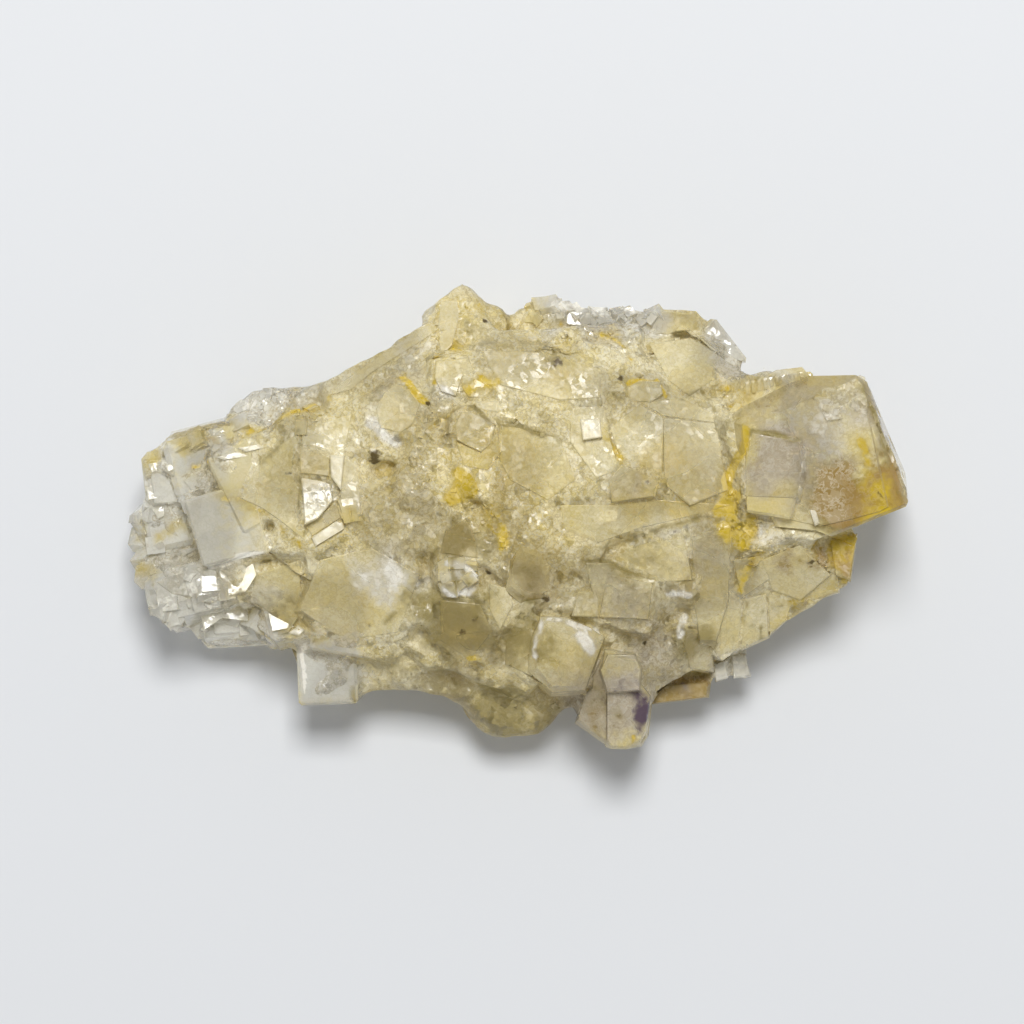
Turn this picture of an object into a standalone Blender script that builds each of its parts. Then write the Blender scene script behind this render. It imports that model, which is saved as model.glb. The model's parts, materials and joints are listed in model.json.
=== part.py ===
"""Fluorite specimen: cubic fluorite crystals grown together on a root of massive fluorite, as one solid.

The specimen lies on its broken back, crystal side up. +X runs along its length, +Y across it, +Z up, and the origin
is under the middle of its box, on the surface it rests on. Sizes below are in millimetres and angles in degrees.
"""

import math
from collections import namedtuple

import bmesh
import bpy
import numpy as np
from mathutils import Euler, Matrix, Vector

MM = 0.001

FLUORITE_IOR = 1.434
FLUORITE_COLOUR = (0.62, 0.53, 0.30)
FLUORITE_ROUGHNESS = 0.12
FLUORITE_TRANSMISSION = 0.6

# The root: a rough lens of massive fluorite. Its plan is a ring of corners, and each level is that plan drawn in
# by a share, so the root is narrow where it broke off, widest a little higher, and domed under the crystals.
ROOT_PLAN = [
    (-43.5, 0), (-42, 6), (-35, 9), (-29, 12), (-22, 15), (-14, 19.5), (-8, 23), (-3, 22), (4, 22.5), (12, 22.5),
    (20, 21.5), (26, 17), (33, 13), (38, 11), (40, 4), (38, -3), (37, -8), (31, -13), (25, -17), (18, -20.5),
    (12, -23), (6, -21.5), (-1, -24.5), (-6, -21.5), (-15, -19.5), (-24, -19.5), (-27, -14), (-34, -12), (-41, -10),
]
ROOT_CENTRE = (-1, 3)
ROOT_LEVELS = [(0, 0.76), (3, 0.88), (7, 0.97), (11, 0.95), (14.5, 0.84), (17, 0.62), (20.4, 0.28)]
ROOT_WIDEST = 7
ROOT_JITTER = 0.55
ROOT_SEED = 7

# The broken back has shallow cleavage steps round its edge: where each cut is, its size, turn and tilt.
BACK_STEP_TALL = 6
BACK_STEPS = [
    # x, y, length, width, depth, turn, tilt
    (-30, -9, 20, 12, 1.6, 20, 5),
    (24, 12, 22, 13, 1.9, 30, -6),
    (-21, 13, 24, 10, 1.2, 30, -4),
    (20, -14, 16, 12, 1.4, -35, 6),
]

# A growth terrace is a thinner box that stands proud of the upper face, smaller by a share and set a little aside.
TERRACE_RISE = 0.4
TERRACE_SHARES = (0.8, 0.58)
TERRACE_OFFSET = 0.05
TERRACE_CHAMFER = 0.15

# A crystal is a box with chamfered edges. at is the middle of its upper face, size is its width, depth and height,
# turn is its turn about Z, and lean tips the upper face towards -Y and then towards +X.
Crystal = namedtuple("Crystal", "name at size turn lean chamfer terraces", defaults=(0, (0, 0), 0.35, 0))

CLEAR_END = [
    Crystal("shoulder_block", (-35.8, 6.6, 17.6), (12, 7.2, 13), 15, (7, 0), 0.7),
    Crystal("window_face", (-34.8, -1.2, 19.4), (7.9, 8.3, 12), 16, (2, -3), 0.3),
    Crystal("outer_step", (-41.3, 4.5, 15.2), (7.4, 6.6, 11), 6, (4, -4), 0.8, 1),
    Crystal("outer_step_low", (-42.2, -0.9, 13.4), (5.6, 6.4, 9.5), 12, (-4, -8), 0.6),
    Crystal("end_bed", (-40.6, -4.6, 12.6), (6.4, 5.4, 9), 20, (0, -6), 0.4),
    Crystal("end_knob_upper", (-45.0, -0.9, 11.6), (3.6, 3.2, 6), 32, (8, -14), 0.7),
    Crystal("end_knob_middle", (-45.5, -2.8, 10.4), (3.4, 3.6, 5), -12, (-5, -10), 0.8),
    Crystal("end_knob_lower", (-44.6, -5.2, 11.0), (3.4, 3.4, 6), 18, (-12, -8), 0.7),
    Crystal("corner_block", (-38.1, -8.0, 15.4), (14.0, 6.6, 10.5), 14, (-14, -5), 1.5),
    Crystal("corner_block_step", (-35.6, -6.9, 17.0), (8.5, 4.2, 6), 14, (-12, -3), 0.4),
    Crystal("lower_ledge", (-32.4, -12.4, 9.6), (12.6, 4.2, 6), 3, (-18, 0), 0.7, 1),
    Crystal("lower_ledge_step", (-27.4, -12.2, 11.4), (7.0, 4.4, 6), 12, (-16, 3), 0.5),
    Crystal("fan_block", (-27.8, 13.0, 13.2), (9.4, 5.4, 8), 3, (-10, 0), 0.9),
    Crystal("fan_block_outer", (-32.4, 11.9, 12.2), (5.4, 5.2, 7), 36, (-8, -8), 1.0),
    Crystal("fan_block_inner", (-23.6, 13.6, 14.8), (6.5, 4.6, 8), 26, (-12, 0), 0.5),
]

LEFT_SIDE = [
    Crystal("grey_face", (-30.0, 4.6, 20.2), (11, 10, 14), 27, (-2, -5), 0.35),
    Crystal("bright_corner", (-22.3, 2.0, 21.2), (7.0, 7.4, 8), -8, (20, 16), 0.3),
    Crystal("bright_corner_twin", (-20.4, 0.6, 20.4), (4.6, 5.0, 6), 24, (-14, 18), 0.3),
    Crystal("upper_slab", (-23.4, 9.4, 20.6), (9.0, 6.8, 9), 4, (-4, 2), 0.35),
    Crystal("ridge_plate", (-16.0, 17.2, 17.2), (16.2, 5.2, 9), 33, (-16, 0), 0.45),
    Crystal("ridge_step_outer", (-20.0, 15.4, 18.0), (6.4, 4.4, 7), 28, (-10, -6), 0.35),
    Crystal("ridge_step_inner", (-12.6, 19.2, 18.4), (6.2, 4.6, 7), 38, (-12, 6), 0.35),
    Crystal("peak_crystal", (-7.0, 24.9, 15.8), (5.2, 5.2, 8), 40, (-12, 0), 0.8),
    Crystal("peak_shoulder", (-10.0, 23.4, 14.8), (3.4, 3.4, 6), 22, (-8, -8), 0.6),
    Crystal("peak_side", (-3.2, 23.5, 14.6), (3.8, 3.8, 7), 6, (-8, 4), 0.8),
    Crystal("peak_foot", (-6.2, 20.4, 18.2), (7.6, 6.0, 8), 14, (-12, 2), 0.35, 1),
    Crystal("broad_slab", (-19.6, -3.0, 20.0), (16.2, 14.2, 12), -37.5, (2, 4), 0.4),
    Crystal("broad_slab_step", (-18.4, -2.0, 20.5), (11, 9.4, 6), -37.5, (2, 4), 0.25),
    Crystal("low_left_slab", (-26.0, -10.8, 14.6), (9, 6.6, 8), 15, (-12, 0), 0.4),
    Crystal("low_slab", (-19.6, -13.6, 16.2), (10, 7, 8), -9, (12, 0), 0.4),
    Crystal("glass_corner", (-23.0, -18.9, 12.6), (7.2, 8.0, 10), 2, (3, -4), 0.35),
    Crystal("bottom_strip", (-14.0, -18.7, 11.4), (14, 5.6, 9), 3, (14, 0), 0.5),
    Crystal("bottom_strip_step", (-11.4, -16.2, 13.2), (8.4, 5.4, 8), 13, (12, 4), 0.4),
]

CENTRE = [
    Crystal("round_window", (-13.8, 12.3, 22.8), (5.6, 5.6, 6), 38, (-3, -4), 1.0),
    Crystal("round_window_foot", (-14.6, 11.0, 21.6), (8.8, 8.4, 8), 16, (-4, -5), 0.4),
    Crystal("six_side_window", (-5.4, 9.9, 24.2), (6.0, 5.2, 6), -18, (2, -3), 1.1),
    Crystal("little_cube", (-8.6, 16.6, 22.8), (3.4, 4.2, 5), -4, (-4, 6), 0.25),
    Crystal("little_cube_twin", (-4.2, 16.6, 22.2), (5.2, 4.6, 6), 12, (-6, 2), 0.3),
    Crystal("crown_west", (-9.8, 4.6, 22.4), (9.4, 9.0, 10), -21, (1, -4), 0.35),
    Crystal("crown_middle", (-1.8, 5.2, 23.6), (9.6, 8.2, 10), -16, (2, 1), 0.35),
    Crystal("crown_east", (6.0, 3.8, 23.2), (8.0, 9.4, 10), -7, (2, 4), 0.35),
    Crystal("crown_south_west", (-8.0, -2.4, 21.4), (8.6, 7.4, 10), -27, (7, -3), 0.35),
    Crystal("crown_south", (-0.6, -1.8, 22.2), (8.0, 7.6, 10), -12, (6, 1), 0.35),
    Crystal("crown_south_east", (6.6, -3.6, 21.6), (7.8, 6.4, 10), -18, (8, 4), 0.35),
    Crystal("crown_back", (-0.8, 13.2, 22.8), (9.4, 8.0, 9), 8, (-5, -2), 0.35, 1),
    Crystal("crown_back_east", (7.4, 13.8, 22.4), (8.8, 8.2, 9), -6, (-5, 3), 0.35),
    Crystal("crown_saddle", (-7.8, 13.4, 21.6), (6.0, 6.0, 8), 12, (-4, -2), 0.3),
    Crystal("crown_gap", (2.4, 9.4, 22.6), (7.4, 4.2, 8), -6, (0, 0), 0.3),
    Crystal("bright_square", (8.4, 10.7, 24.1), (3.0, 3.0, 4), 4, (0, 4), 0.2),
    Crystal("bright_square_foot", (6.6, 10.8, 23.5), (7.0, 5.4, 6), -10, (-2, 3), 0.3),
    Crystal("plateau", (18.2, 7.0, 21.8), (15.4, 14.2, 11), -7, (2, 3), 0.4),
    Crystal("plateau_step_low", (19.0, 5.8, 22.4), (12.4, 10.8, 5), -7, (2, 3), 0.2),
    Crystal("plateau_step_high", (14.7, 4.4, 23.2), (7.0, 6.4, 5), -9, (2, 2), 0.2, 1),
    Crystal("oval_window", (15.3, 14.7, 22.6), (4.6, 3.0, 4), 3, (-4, 2), 0.75),
    Crystal("back_slab", (6.0, 18.6, 19.6), (18.4, 8.4, 9), 4, (-14, 0), 0.4),
    Crystal("back_slab_step", (10.8, 16.4, 21.2), (9.6, 7.4, 8), -12, (-9, 3), 0.35),
    Crystal("hollow_quartz", (-7.1, -7.3, 19.3), (4.4, 4.4, 6), 42, (12, 6), 0.5),
    Crystal("smoky_knob", (1.0, -7.4, 20.8), (5.2, 6.6, 8), 14, (8, -6), 1.3),
    Crystal("smoky_knob_side", (4.4, -6.8, 20.0), (3.4, 5.4, 7), -22, (6, 10), 0.8),
    Crystal("wedge_tip", (-2.3, -11.0, 19.0), (3.2, 5.2, 7), 42, (22, 0), 0.3),
    Crystal("recess_left", (-8.8, -12.0, 17.8), (5.6, 6.4, 8), 28, (10, 4), 0.35),
    Crystal("recess_floor", (-4.8, -12.8, 17.0), (6.4, 5.2, 8), -14, (12, 0), 0.35),
    Crystal("recess_right", (1.4, -12.4, 17.9), (5.0, 4.6, 7), 20, (10, -2), 0.35),
    Crystal("recess_back", (-3.6, -6.4, 19.4), (6.2, 5.2, 8), 8, (12, 2), 0.35),
]

BACK_RIGHT = [
    Crystal("back_cube", (19.0, 21.5, 15.8), (6.6, 6.4, 9), -3, (-7, 0), 1.1),
    Crystal("back_plate", (23.4, 19.5, 15.6), (5.6, 6.8, 9), 37, (-4, 8), 0.5),
    Crystal("back_plate_foot", (21.2, 16.4, 19.4), (10.4, 8.2, 9), -38, (-10, 6), 0.4, 1),
    Crystal("druse_bed", (9.4, 20.8, 13.8), (14.4, 6.4, 8), -2, (-10, 0), 0.4),
    Crystal("pale_plate", (1.6, 23.5, 12.2), (5.0, 3.8, 6), 38, (-4, 0), 0.3),
    Crystal("cube_saddle", (28.4, 14.2, 17.0), (6.6, 5.4, 8), 25, (-8, 0), 0.35),
]

RIGHT_END = [
    Crystal("great_cube", (36.2, 4.3, 24.6), (15.6, 13.8, 15), 22, (12, -9), 0.5),
    Crystal("cube_foot", (37.8, 4.2, 13.0), (9.0, 9.0, 9), 38, (0, 12), 0.5),
    Crystal("cube_ridge", (30.8, 14.4, 19.6), (8.8, 4.8, 8), 4, (-8, 0), 0.3, 1),
    Crystal("lilac_cube", (29.7, 4.2, 25.4), (6.5, 8.8, 9), -9, (9, -3), 0.35),
    Crystal("cube_left_foot", (27.0, 8.4, 22.2), (4.6, 6.4, 9), 22, (8, -6), 0.3),
    Crystal("amber_lump_upper", (26.4, 1.6, 22.2), (4.0, 6.2, 8), 10, (6, -6), 0.7),
    Crystal("amber_lump_lower", (27.4, -2.3, 20.8), (5.4, 4.8, 8), -22, (12, -4), 0.7),
    Crystal("knuckle", (32.2, -3.4, 20.4), (5.8, 4.8, 9), 27, (16, 4), 0.9),
    Crystal("amber_block", (36.6, -4.9, 16.8), (6.6, 6.8, 9), -14, (14, 8), 0.5, 1),
    Crystal("amber_rim", (39.0, -5.8, 14.8), (2.6, 6.6, 8), 4, (8, 12), 0.5),
    Crystal("amber_foot", (34.8, -8.4, 15.0), (6.6, 4.8, 8), 20, (18, 4), 0.5),
    Crystal("ribbed_slope", (29.6, -10.0, 15.0), (14.6, 9.4, 9), 33, (25, 0), 0.4),
    Crystal("ribbed_slope_step", (27.4, -8.8, 16.8), (11.0, 6.2, 7), 33, (24, 0), 0.3),
    Crystal("rim_cubes", (25.8, -18.1, 8.8), (4.4, 3.4, 6), 8, (8, 0), 0.4),
    Crystal("amber_ledge", (19.6, -20.8, 8.2), (7.2, 3.6, 6), 5, (10, 0), 0.5),
]

FRONT = [
    Crystal("nested_outer", (13.0, -9.7, 19.6), (7.4, 7.0, 8), -12, (6, -2), 0.25),
    Crystal("nested_inner", (12.9, -10.1, 20.2), (5.2, 5.4, 5), -12, (6, -2), 0.2),
    Crystal("nested_side", (8.4, -11.0, 18.8), (3.6, 3.8, 6), -10, (6, -3), 0.25),
    Crystal("front_plane", (19.8, -5.4, 19.6), (13.4, 11.4, 10), -5, (7, 2), 0.4),
    Crystal("front_plane_step", (17.6, -3.8, 20.3), (8.2, 7.6, 5), -5, (7, 2), 0.2),
    Crystal("broken_patch", (19.2, -14.6, 15.4), (10.4, 9.4, 9), 12, (14, 0), 0.4),
    Crystal("broken_patch_left", (16.2, -16.8, 14.8), (5.0, 5.2, 7), 30, (16, -8), 0.3),
    Crystal("broken_patch_right", (22.4, -16.4, 13.8), (4.2, 5.4, 7), -9, (18, 8), 0.35),
    Crystal("clear_cube", (5.7, -16.9, 19.4), (7.6, 8.2, 9), -11, (13, 7), 0.55),
    Crystal("violet_prism", (12.9, -23.1, 14.0), (5.2, 10.6, 11), -2, (9, -3), 1.1),
    Crystal("violet_prism_side", (9.5, -22.6, 12.6), (4.0, 8.2, 9), 11, (9, 6), 0.9),
    Crystal("violet_step", (12.2, -18.9, 15.4), (5.2, 5.2, 8), -6, (9, -2), 0.4),
    Crystal("honey_lump", (-0.6, -23.4, 11.0), (11.4, 8.4, 9), 2, (8, 0), 2.6),
    Crystal("honey_lump_side", (-5.6, -20.9, 11.6), (6.4, 6.0, 8), -32, (8, 4), 1.6),
    Crystal("honey_bridge", (5.2, -21.0, 11.2), (5.4, 5.6, 8), 18, (10, 0), 1.0),
    Crystal("front_slab_left", (-4.4, -16.6, 15.6), (8.2, 7.4, 9), -26, (10, 3), 0.4),
    Crystal("front_slab_middle", (-1.0, -14.6, 16.8), (6.2, 6.0, 8), 9, (10, 3), 0.4),
]

# Small crystals that grow on the upper faces of the large ones, nearly square to their hosts and a little proud.
# The clean-faced crystals carry none.
STUD_COUNT = 110
STUD_EDGE = (1.6, 4.6)
STUD_PROUD = (0.15, 0.9)
STUD_REACH = 0.93
STUD_TILT = 0.09
STUD_SEED = 63
CLEAN_FACED = ("window_face", "grey_face", "bright_corner", "round_window", "six_side_window", "great_cube",
               "lilac_cube", "clear_cube", "violet_prism", "honey_lump", "smoky_knob", "back_plate", "little_cube")

# Small crystals strewn over the root, sunk by a share of their size, each turned its own way.
STREWN_COUNT = 48
STREWN_STRAY = 0.9
STREWN_EDGE = (1.8, 4.2)
STREWN_REACH = (0.5, 0.99)
STREWN_SINK = 0.25
STREWN_STRETCH = (0.8, 1.25)
STREWN_TILT = 0.6
STREWN_SEED = 23

# Blocks of massive fluorite that stand out of the root's flank, below the crystals.
FLANK_COUNT = 22
FLANK_EDGE = (4.5, 9.0)
FLANK_REACH = (0.80, 0.90)
FLANK_HEIGHT = (3.5, 8.5)
FLANK_STRAY = 0.2
FLANK_TILT = 0.4
FLANK_SEED = 41

# A druse of tiny cubes along the back edge.
DRUSE_COUNT = 15
DRUSE_FROM, DRUSE_TO = (4.0, 24.1), (15.8, 23.0)
DRUSE_TOP = 12.6
DRUSE_EDGE = (1.1, 2.2)
DRUSE_LENGTH = 3
DRUSE_STRAY = (-0.7, 0.4)
DRUSE_TILT = 0.5
DRUSE_SEED = 5

FLOOR_CUT_DEPTH = 30
FLOOR_CUT_WIDTH = 160


def clear_scene():
    for obj in list(bpy.data.objects):
        bpy.data.objects.remove(obj)


def fluorite_finish():
    """Glossy, pale yellow and partly clear."""
    made = bpy.data.materials.new("fluorite")
    made.use_nodes = True
    shader = made.node_tree.nodes["Principled BSDF"]
    shader.inputs["Base Color"].default_value = (*FLUORITE_COLOUR, 1)
    shader.inputs["Roughness"].default_value = FLUORITE_ROUGHNESS
    shader.inputs["Metallic"].default_value = 0
    shader.inputs["Transmission Weight"].default_value = FLUORITE_TRANSMISSION
    shader.inputs["IOR"].default_value = FLUORITE_IOR
    return made


def new_object(name, bm, collection):
    mesh = bpy.data.meshes.new(name)
    bm.to_mesh(mesh)
    bm.free()
    obj = bpy.data.objects.new(name, mesh)
    collection.objects.link(obj)
    return obj


def as_helper(obj):
    """Marks a shape that only takes part in a Boolean."""
    obj.hide_render = True
    obj.display_type = "WIRE"
    return obj


def box(name, middle, size, angles, chamfer, collection):
    """A box with chamfered edges, in metres, turned by Euler angles and then placed."""
    bm = bmesh.new()
    bmesh.ops.create_cube(bm, size=1)
    bmesh.ops.scale(bm, vec=Vector(size) * MM, verts=bm.verts)
    if chamfer:
        bmesh.ops.bevel(
            bm, geom=bm.edges[:], offset=chamfer * MM, segments=1, affect="EDGES", profile=0.5, clamp_overlap=True
        )
    obj = as_helper(new_object(name, bm, collection))
    obj.location = Vector(middle) * MM
    obj.rotation_euler = angles
    return obj


def facing(crystal):
    """How the crystal is turned: about Z, after it has leant."""
    return Euler([math.radians(a) for a in (*crystal.lean, crystal.turn)])


def grow(crystal, collection):
    """The crystal, hung from the middle of its upper face, with its growth terraces on that face."""
    width, depth, height = crystal.size
    angles = facing(crystal)
    up = angles.to_matrix() @ Vector((0, 0, 1))
    top = Vector(crystal.at)
    box(crystal.name, top - up * height / 2, crystal.size, angles, crystal.chamfer, collection)
    for level in range(crystal.terraces):
        share = TERRACE_SHARES[level]
        aside = angles.to_matrix() @ Vector((width, -depth, 0)) * TERRACE_OFFSET * (level + 1)
        rise = up * TERRACE_RISE * (level + 1)
        size = (width * share, depth * share, height / 2)
        middle = top + aside + rise - up * height / 4
        box(f"{crystal.name}_terrace_{level}", middle, size, angles, TERRACE_CHAMFER, collection)


def root_radius(angle):
    """How far the root's plan reaches from its centre in this direction, in millimetres."""
    corners = np.array(ROOT_PLAN) - ROOT_CENTRE
    bearings = np.arctan2(corners[:, 1], corners[:, 0])
    order = np.argsort(bearings)
    return np.interp(angle, bearings[order], np.hypot(*corners[order].T), period=2 * math.pi)


def root_top(reach):
    """The height of the root's upper side where it is drawn in to this share of its plan."""
    heights, shares = np.array([level for level in ROOT_LEVELS if level[0] >= ROOT_WIDEST]).T
    return float(np.interp(reach, shares[::-1], heights[::-1]))


def make_root(collection):
    """The lens of massive fluorite: the plan at each level, joined ring to ring and closed at both ends."""
    random = np.random.default_rng(ROOT_SEED)
    plan = np.array(ROOT_PLAN, float) - ROOT_CENTRE
    bm = bmesh.new()
    rings = []
    for height, share in ROOT_LEVELS:
        wander = random.uniform(-ROOT_JITTER, ROOT_JITTER, (len(plan), 3))
        if height == 0:
            wander[:, 2] = 0
        corners = np.column_stack([plan * share + ROOT_CENTRE, np.full(len(plan), height)]) + wander
        rings.append([bm.verts.new(Vector(c) * MM) for c in corners])
    for lower, upper in zip(rings, rings[1:]):
        for i in range(len(plan)):
            j = (i + 1) % len(plan)
            bm.faces.new((lower[i], lower[j], upper[j], upper[i]))
    bm.faces.new(rings[0])
    bm.faces.new(rings[-1])
    bmesh.ops.triangulate(bm, faces=bm.faces)
    bmesh.ops.recalc_face_normals(bm, faces=bm.faces)
    return new_object("fluorite_cluster", bm, collection)


def host_at(x, y, crystals):
    """The crystal whose upper face is the highest over this point, and that height; None where there is none."""
    host, height = None, 0
    for crystal in crystals:
        turned = facing(crystal).to_matrix()
        up = turned @ Vector((0, 0, 1))
        top = Vector(crystal.at)
        z = top.z - (up.x * (x - top.x) + up.y * (y - top.y)) / up.z
        across = turned.transposed() @ (Vector((x, y, z)) - top)
        inside = abs(across.x) < crystal.size[0] / 2 and abs(across.y) < crystal.size[1] / 2
        if inside and z > height:
            host, height = crystal, z
    return host, height


def stud(crystals, collection):
    """Small crystals on the upper faces, spread evenly by area, each sharing its host's axes but for a slight tilt."""
    random = np.random.default_rng(STUD_SEED)
    for number in range(STUD_COUNT):
        bearing = random.uniform(-math.pi, math.pi)
        x, y = on_plan(bearing, STUD_REACH * math.sqrt(random.uniform()))
        edges = random.uniform(*STUD_EDGE, 2)
        proud = random.uniform(*STUD_PROUD)
        tilt = random.uniform(-STUD_TILT, STUD_TILT, 3)
        host, height = host_at(x, y, crystals)
        if host is None or host.name.startswith(CLEAN_FACED):
            continue
        angles = (facing(host).to_matrix() @ Euler(tilt).to_matrix()).to_euler()
        deep = edges.mean()
        box(f"stud_{number:03d}", (x, y, height + proud - deep / 2), (*edges, deep), angles, 0, collection)


def on_plan(bearing, reach):
    """The point of the root's plan at this bearing, drawn in to this share."""
    out = root_radius(bearing) * reach
    return ROOT_CENTRE[0] + out * math.cos(bearing), ROOT_CENTRE[1] + out * math.sin(bearing)


def strew(collection):
    """Small crystals round the root's shoulders, each at a random bearing, reach, size and turn."""
    random = np.random.default_rng(STREWN_SEED)
    for number in range(STREWN_COUNT):
        bearing = 2 * math.pi * (number + random.uniform(0, STREWN_STRAY)) / STREWN_COUNT
        reach = random.uniform(*STREWN_REACH)
        edge = random.uniform(*STREWN_EDGE)
        middle = (*on_plan(bearing, reach), root_top(reach) - edge * STREWN_SINK)
        size = edge * random.uniform(*STREWN_STRETCH, 3)
        angles = Euler(random.uniform(-STREWN_TILT, STREWN_TILT, 3))
        box(f"strewn_{number:02d}", middle, size, angles, 0, collection)


def block_flank(collection):
    """Blocks all round the flank, square to it but for a tilt, so that the root's side is ledges and not a bowl."""
    random = np.random.default_rng(FLANK_SEED)
    for number in range(FLANK_COUNT):
        bearing = 2 * math.pi * (number + random.uniform(-FLANK_STRAY, FLANK_STRAY)) / FLANK_COUNT
        middle = (*on_plan(bearing, random.uniform(*FLANK_REACH)), random.uniform(*FLANK_HEIGHT))
        size = random.uniform(*FLANK_EDGE, 3)
        tilt = random.uniform(-FLANK_TILT, FLANK_TILT, 3)
        angles = Euler((tilt[0], tilt[1], bearing + tilt[2]))
        box(f"flank_{number:02d}", middle, size, angles, 0, collection)


def sow_druse(collection):
    """Tiny cubes in a row along the back edge, jostling each other."""
    random = np.random.default_rng(DRUSE_SEED)
    start, end = np.array(DRUSE_FROM), np.array(DRUSE_TO)
    for number in range(DRUSE_COUNT):
        x, y = start + (end - start) * (number + 0.5) / DRUSE_COUNT + random.uniform(*DRUSE_STRAY, 2)
        edge = random.uniform(*DRUSE_EDGE)
        middle = (x, y, DRUSE_TOP - edge / 2 + random.uniform(*DRUSE_STRAY))
        angles = Euler(random.uniform(-DRUSE_TILT, DRUSE_TILT, 3))
        box(f"druse_{number:02d}", middle, (edge, edge, DRUSE_LENGTH * edge), angles, 0, collection)


def join_or_cut(obj, operation, helpers):
    modifier = obj.modifiers.new(operation.lower(), "BOOLEAN")
    modifier.operation = operation
    modifier.operand_type = "COLLECTION"
    modifier.collection = helpers


def cut_back(collection):
    """Everything below the resting surface, and the shallow steps of the broken back."""
    floor = (0, 0, -FLOOR_CUT_DEPTH / 2)
    box("floor_cut", floor, (FLOOR_CUT_WIDTH, FLOOR_CUT_WIDTH, FLOOR_CUT_DEPTH), Euler(), 0, collection)
    for number, (x, y, length, width, depth, turn, tilt) in enumerate(BACK_STEPS):
        angles = Euler([math.radians(a) for a in (tilt, 0, turn)])
        middle = (x, y, depth - BACK_STEP_TALL / 2)
        box(f"back_step_{number}", middle, (length, width, BACK_STEP_TALL), angles, 0, collection)


def fill_pockets(mesh):
    """Keeps the outer skin alone, so a pocket sealed in between crystals becomes solid fluorite."""
    bm = bmesh.new()
    bm.from_mesh(mesh)
    unseen = set(bm.verts)
    skins = []
    while unseen:
        skin = {unseen.pop()}
        edge_of_search = list(skin)
        while edge_of_search:
            reached = {e.other_vert(v) for v in edge_of_search for e in v.link_edges} & unseen
            unseen -= reached
            skin |= reached
            edge_of_search = list(reached)
        skins.append(skin)
    outer = max(skins, key=len)
    bmesh.ops.delete(bm, geom=[v for v in bm.verts if v not in outer], context="VERTS")
    bm.to_mesh(mesh)
    bm.free()


def settle(obj):
    """Applies the Booleans and puts the origin under the middle of the box, on the resting surface."""
    graph = bpy.context.evaluated_depsgraph_get()
    mesh = bpy.data.meshes.new_from_object(obj.evaluated_get(graph))
    fill_pockets(mesh)
    obj.modifiers.clear()
    obj.data = mesh
    corners = np.array([v.co for v in mesh.vertices])
    low, high = corners.min(axis=0), corners.max(axis=0)
    middle = (low + high) / 2
    mesh.transform(Matrix.Translation((-middle[0], -middle[1], -low[2])))


def main():
    clear_scene()
    scene = bpy.context.scene.collection
    crystals = bpy.data.collections.new("crystals")
    cuts = bpy.data.collections.new("cuts")
    scene.children.link(crystals)
    scene.children.link(cuts)
    cluster = make_root(scene)
    named = CLEAR_END + LEFT_SIDE + CENTRE + BACK_RIGHT + RIGHT_END + FRONT
    for crystal in named:
        grow(crystal, crystals)
    stud(named, crystals)
    strew(crystals)
    block_flank(crystals)
    sow_druse(crystals)
    cut_back(cuts)
    join_or_cut(cluster, "UNION", crystals)
    join_or_cut(cluster, "DIFFERENCE", cuts)
    settle(cluster)
    cluster.data.materials.clear()
    cluster.data.materials.append(fluorite_finish())


main()
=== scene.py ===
# %% [markdown]
# # A fluorite specimen, finished
#
# Fluorite grows as cubes. This specimen is a crust of pale yellow cubes, most of them cloudy, that grew
# into each other on a root of massive fluorite. Its left end is clear as glass, its right end is one great
# lavender-grey cube, and iron has stained the seams between crystals amber.
#
# The solid underneath already has the root and every crystal that shows from a step away. This lesson adds
# what shows from close by: the melted ground between the crystals, the flat faces that come up in it, a
# dusting of tiny cubes, and the stone itself, which lets light in, tints it, clouds it and sends it back.

# %% Load the frame
import json
import math
from collections import namedtuple

import bmesh
import bpy
import numpy as np
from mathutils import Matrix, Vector
from mathutils.bvhtree import BVHTree

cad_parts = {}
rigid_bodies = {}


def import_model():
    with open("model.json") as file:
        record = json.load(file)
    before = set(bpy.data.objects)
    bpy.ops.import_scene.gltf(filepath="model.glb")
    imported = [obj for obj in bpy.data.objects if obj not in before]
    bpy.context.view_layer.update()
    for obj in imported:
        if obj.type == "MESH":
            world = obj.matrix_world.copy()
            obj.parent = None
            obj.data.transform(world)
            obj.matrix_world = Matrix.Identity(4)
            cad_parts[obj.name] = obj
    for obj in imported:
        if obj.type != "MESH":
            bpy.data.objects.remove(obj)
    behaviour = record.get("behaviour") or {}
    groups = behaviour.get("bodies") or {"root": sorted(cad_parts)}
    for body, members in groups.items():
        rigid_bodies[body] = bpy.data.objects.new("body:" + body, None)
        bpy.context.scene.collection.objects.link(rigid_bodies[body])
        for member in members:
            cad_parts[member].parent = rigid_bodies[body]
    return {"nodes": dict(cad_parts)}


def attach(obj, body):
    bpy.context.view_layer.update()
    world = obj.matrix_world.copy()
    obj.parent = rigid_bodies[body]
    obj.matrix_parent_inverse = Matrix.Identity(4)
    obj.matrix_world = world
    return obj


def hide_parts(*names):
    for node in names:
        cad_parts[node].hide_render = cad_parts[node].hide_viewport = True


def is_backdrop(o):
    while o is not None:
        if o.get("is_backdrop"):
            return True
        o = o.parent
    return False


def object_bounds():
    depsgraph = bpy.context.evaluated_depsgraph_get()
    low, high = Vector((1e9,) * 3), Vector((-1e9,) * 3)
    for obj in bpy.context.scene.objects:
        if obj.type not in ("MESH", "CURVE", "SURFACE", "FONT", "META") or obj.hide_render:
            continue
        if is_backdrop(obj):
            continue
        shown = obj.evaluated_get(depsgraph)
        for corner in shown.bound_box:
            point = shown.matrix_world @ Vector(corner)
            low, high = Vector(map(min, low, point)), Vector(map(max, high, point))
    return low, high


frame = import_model()
cad_low, cad_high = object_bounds()
MM = 0.001
print("solid's box, mm:", [round((h - l) / MM, 1) for l, h in zip(cad_low, cad_high)])

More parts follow.
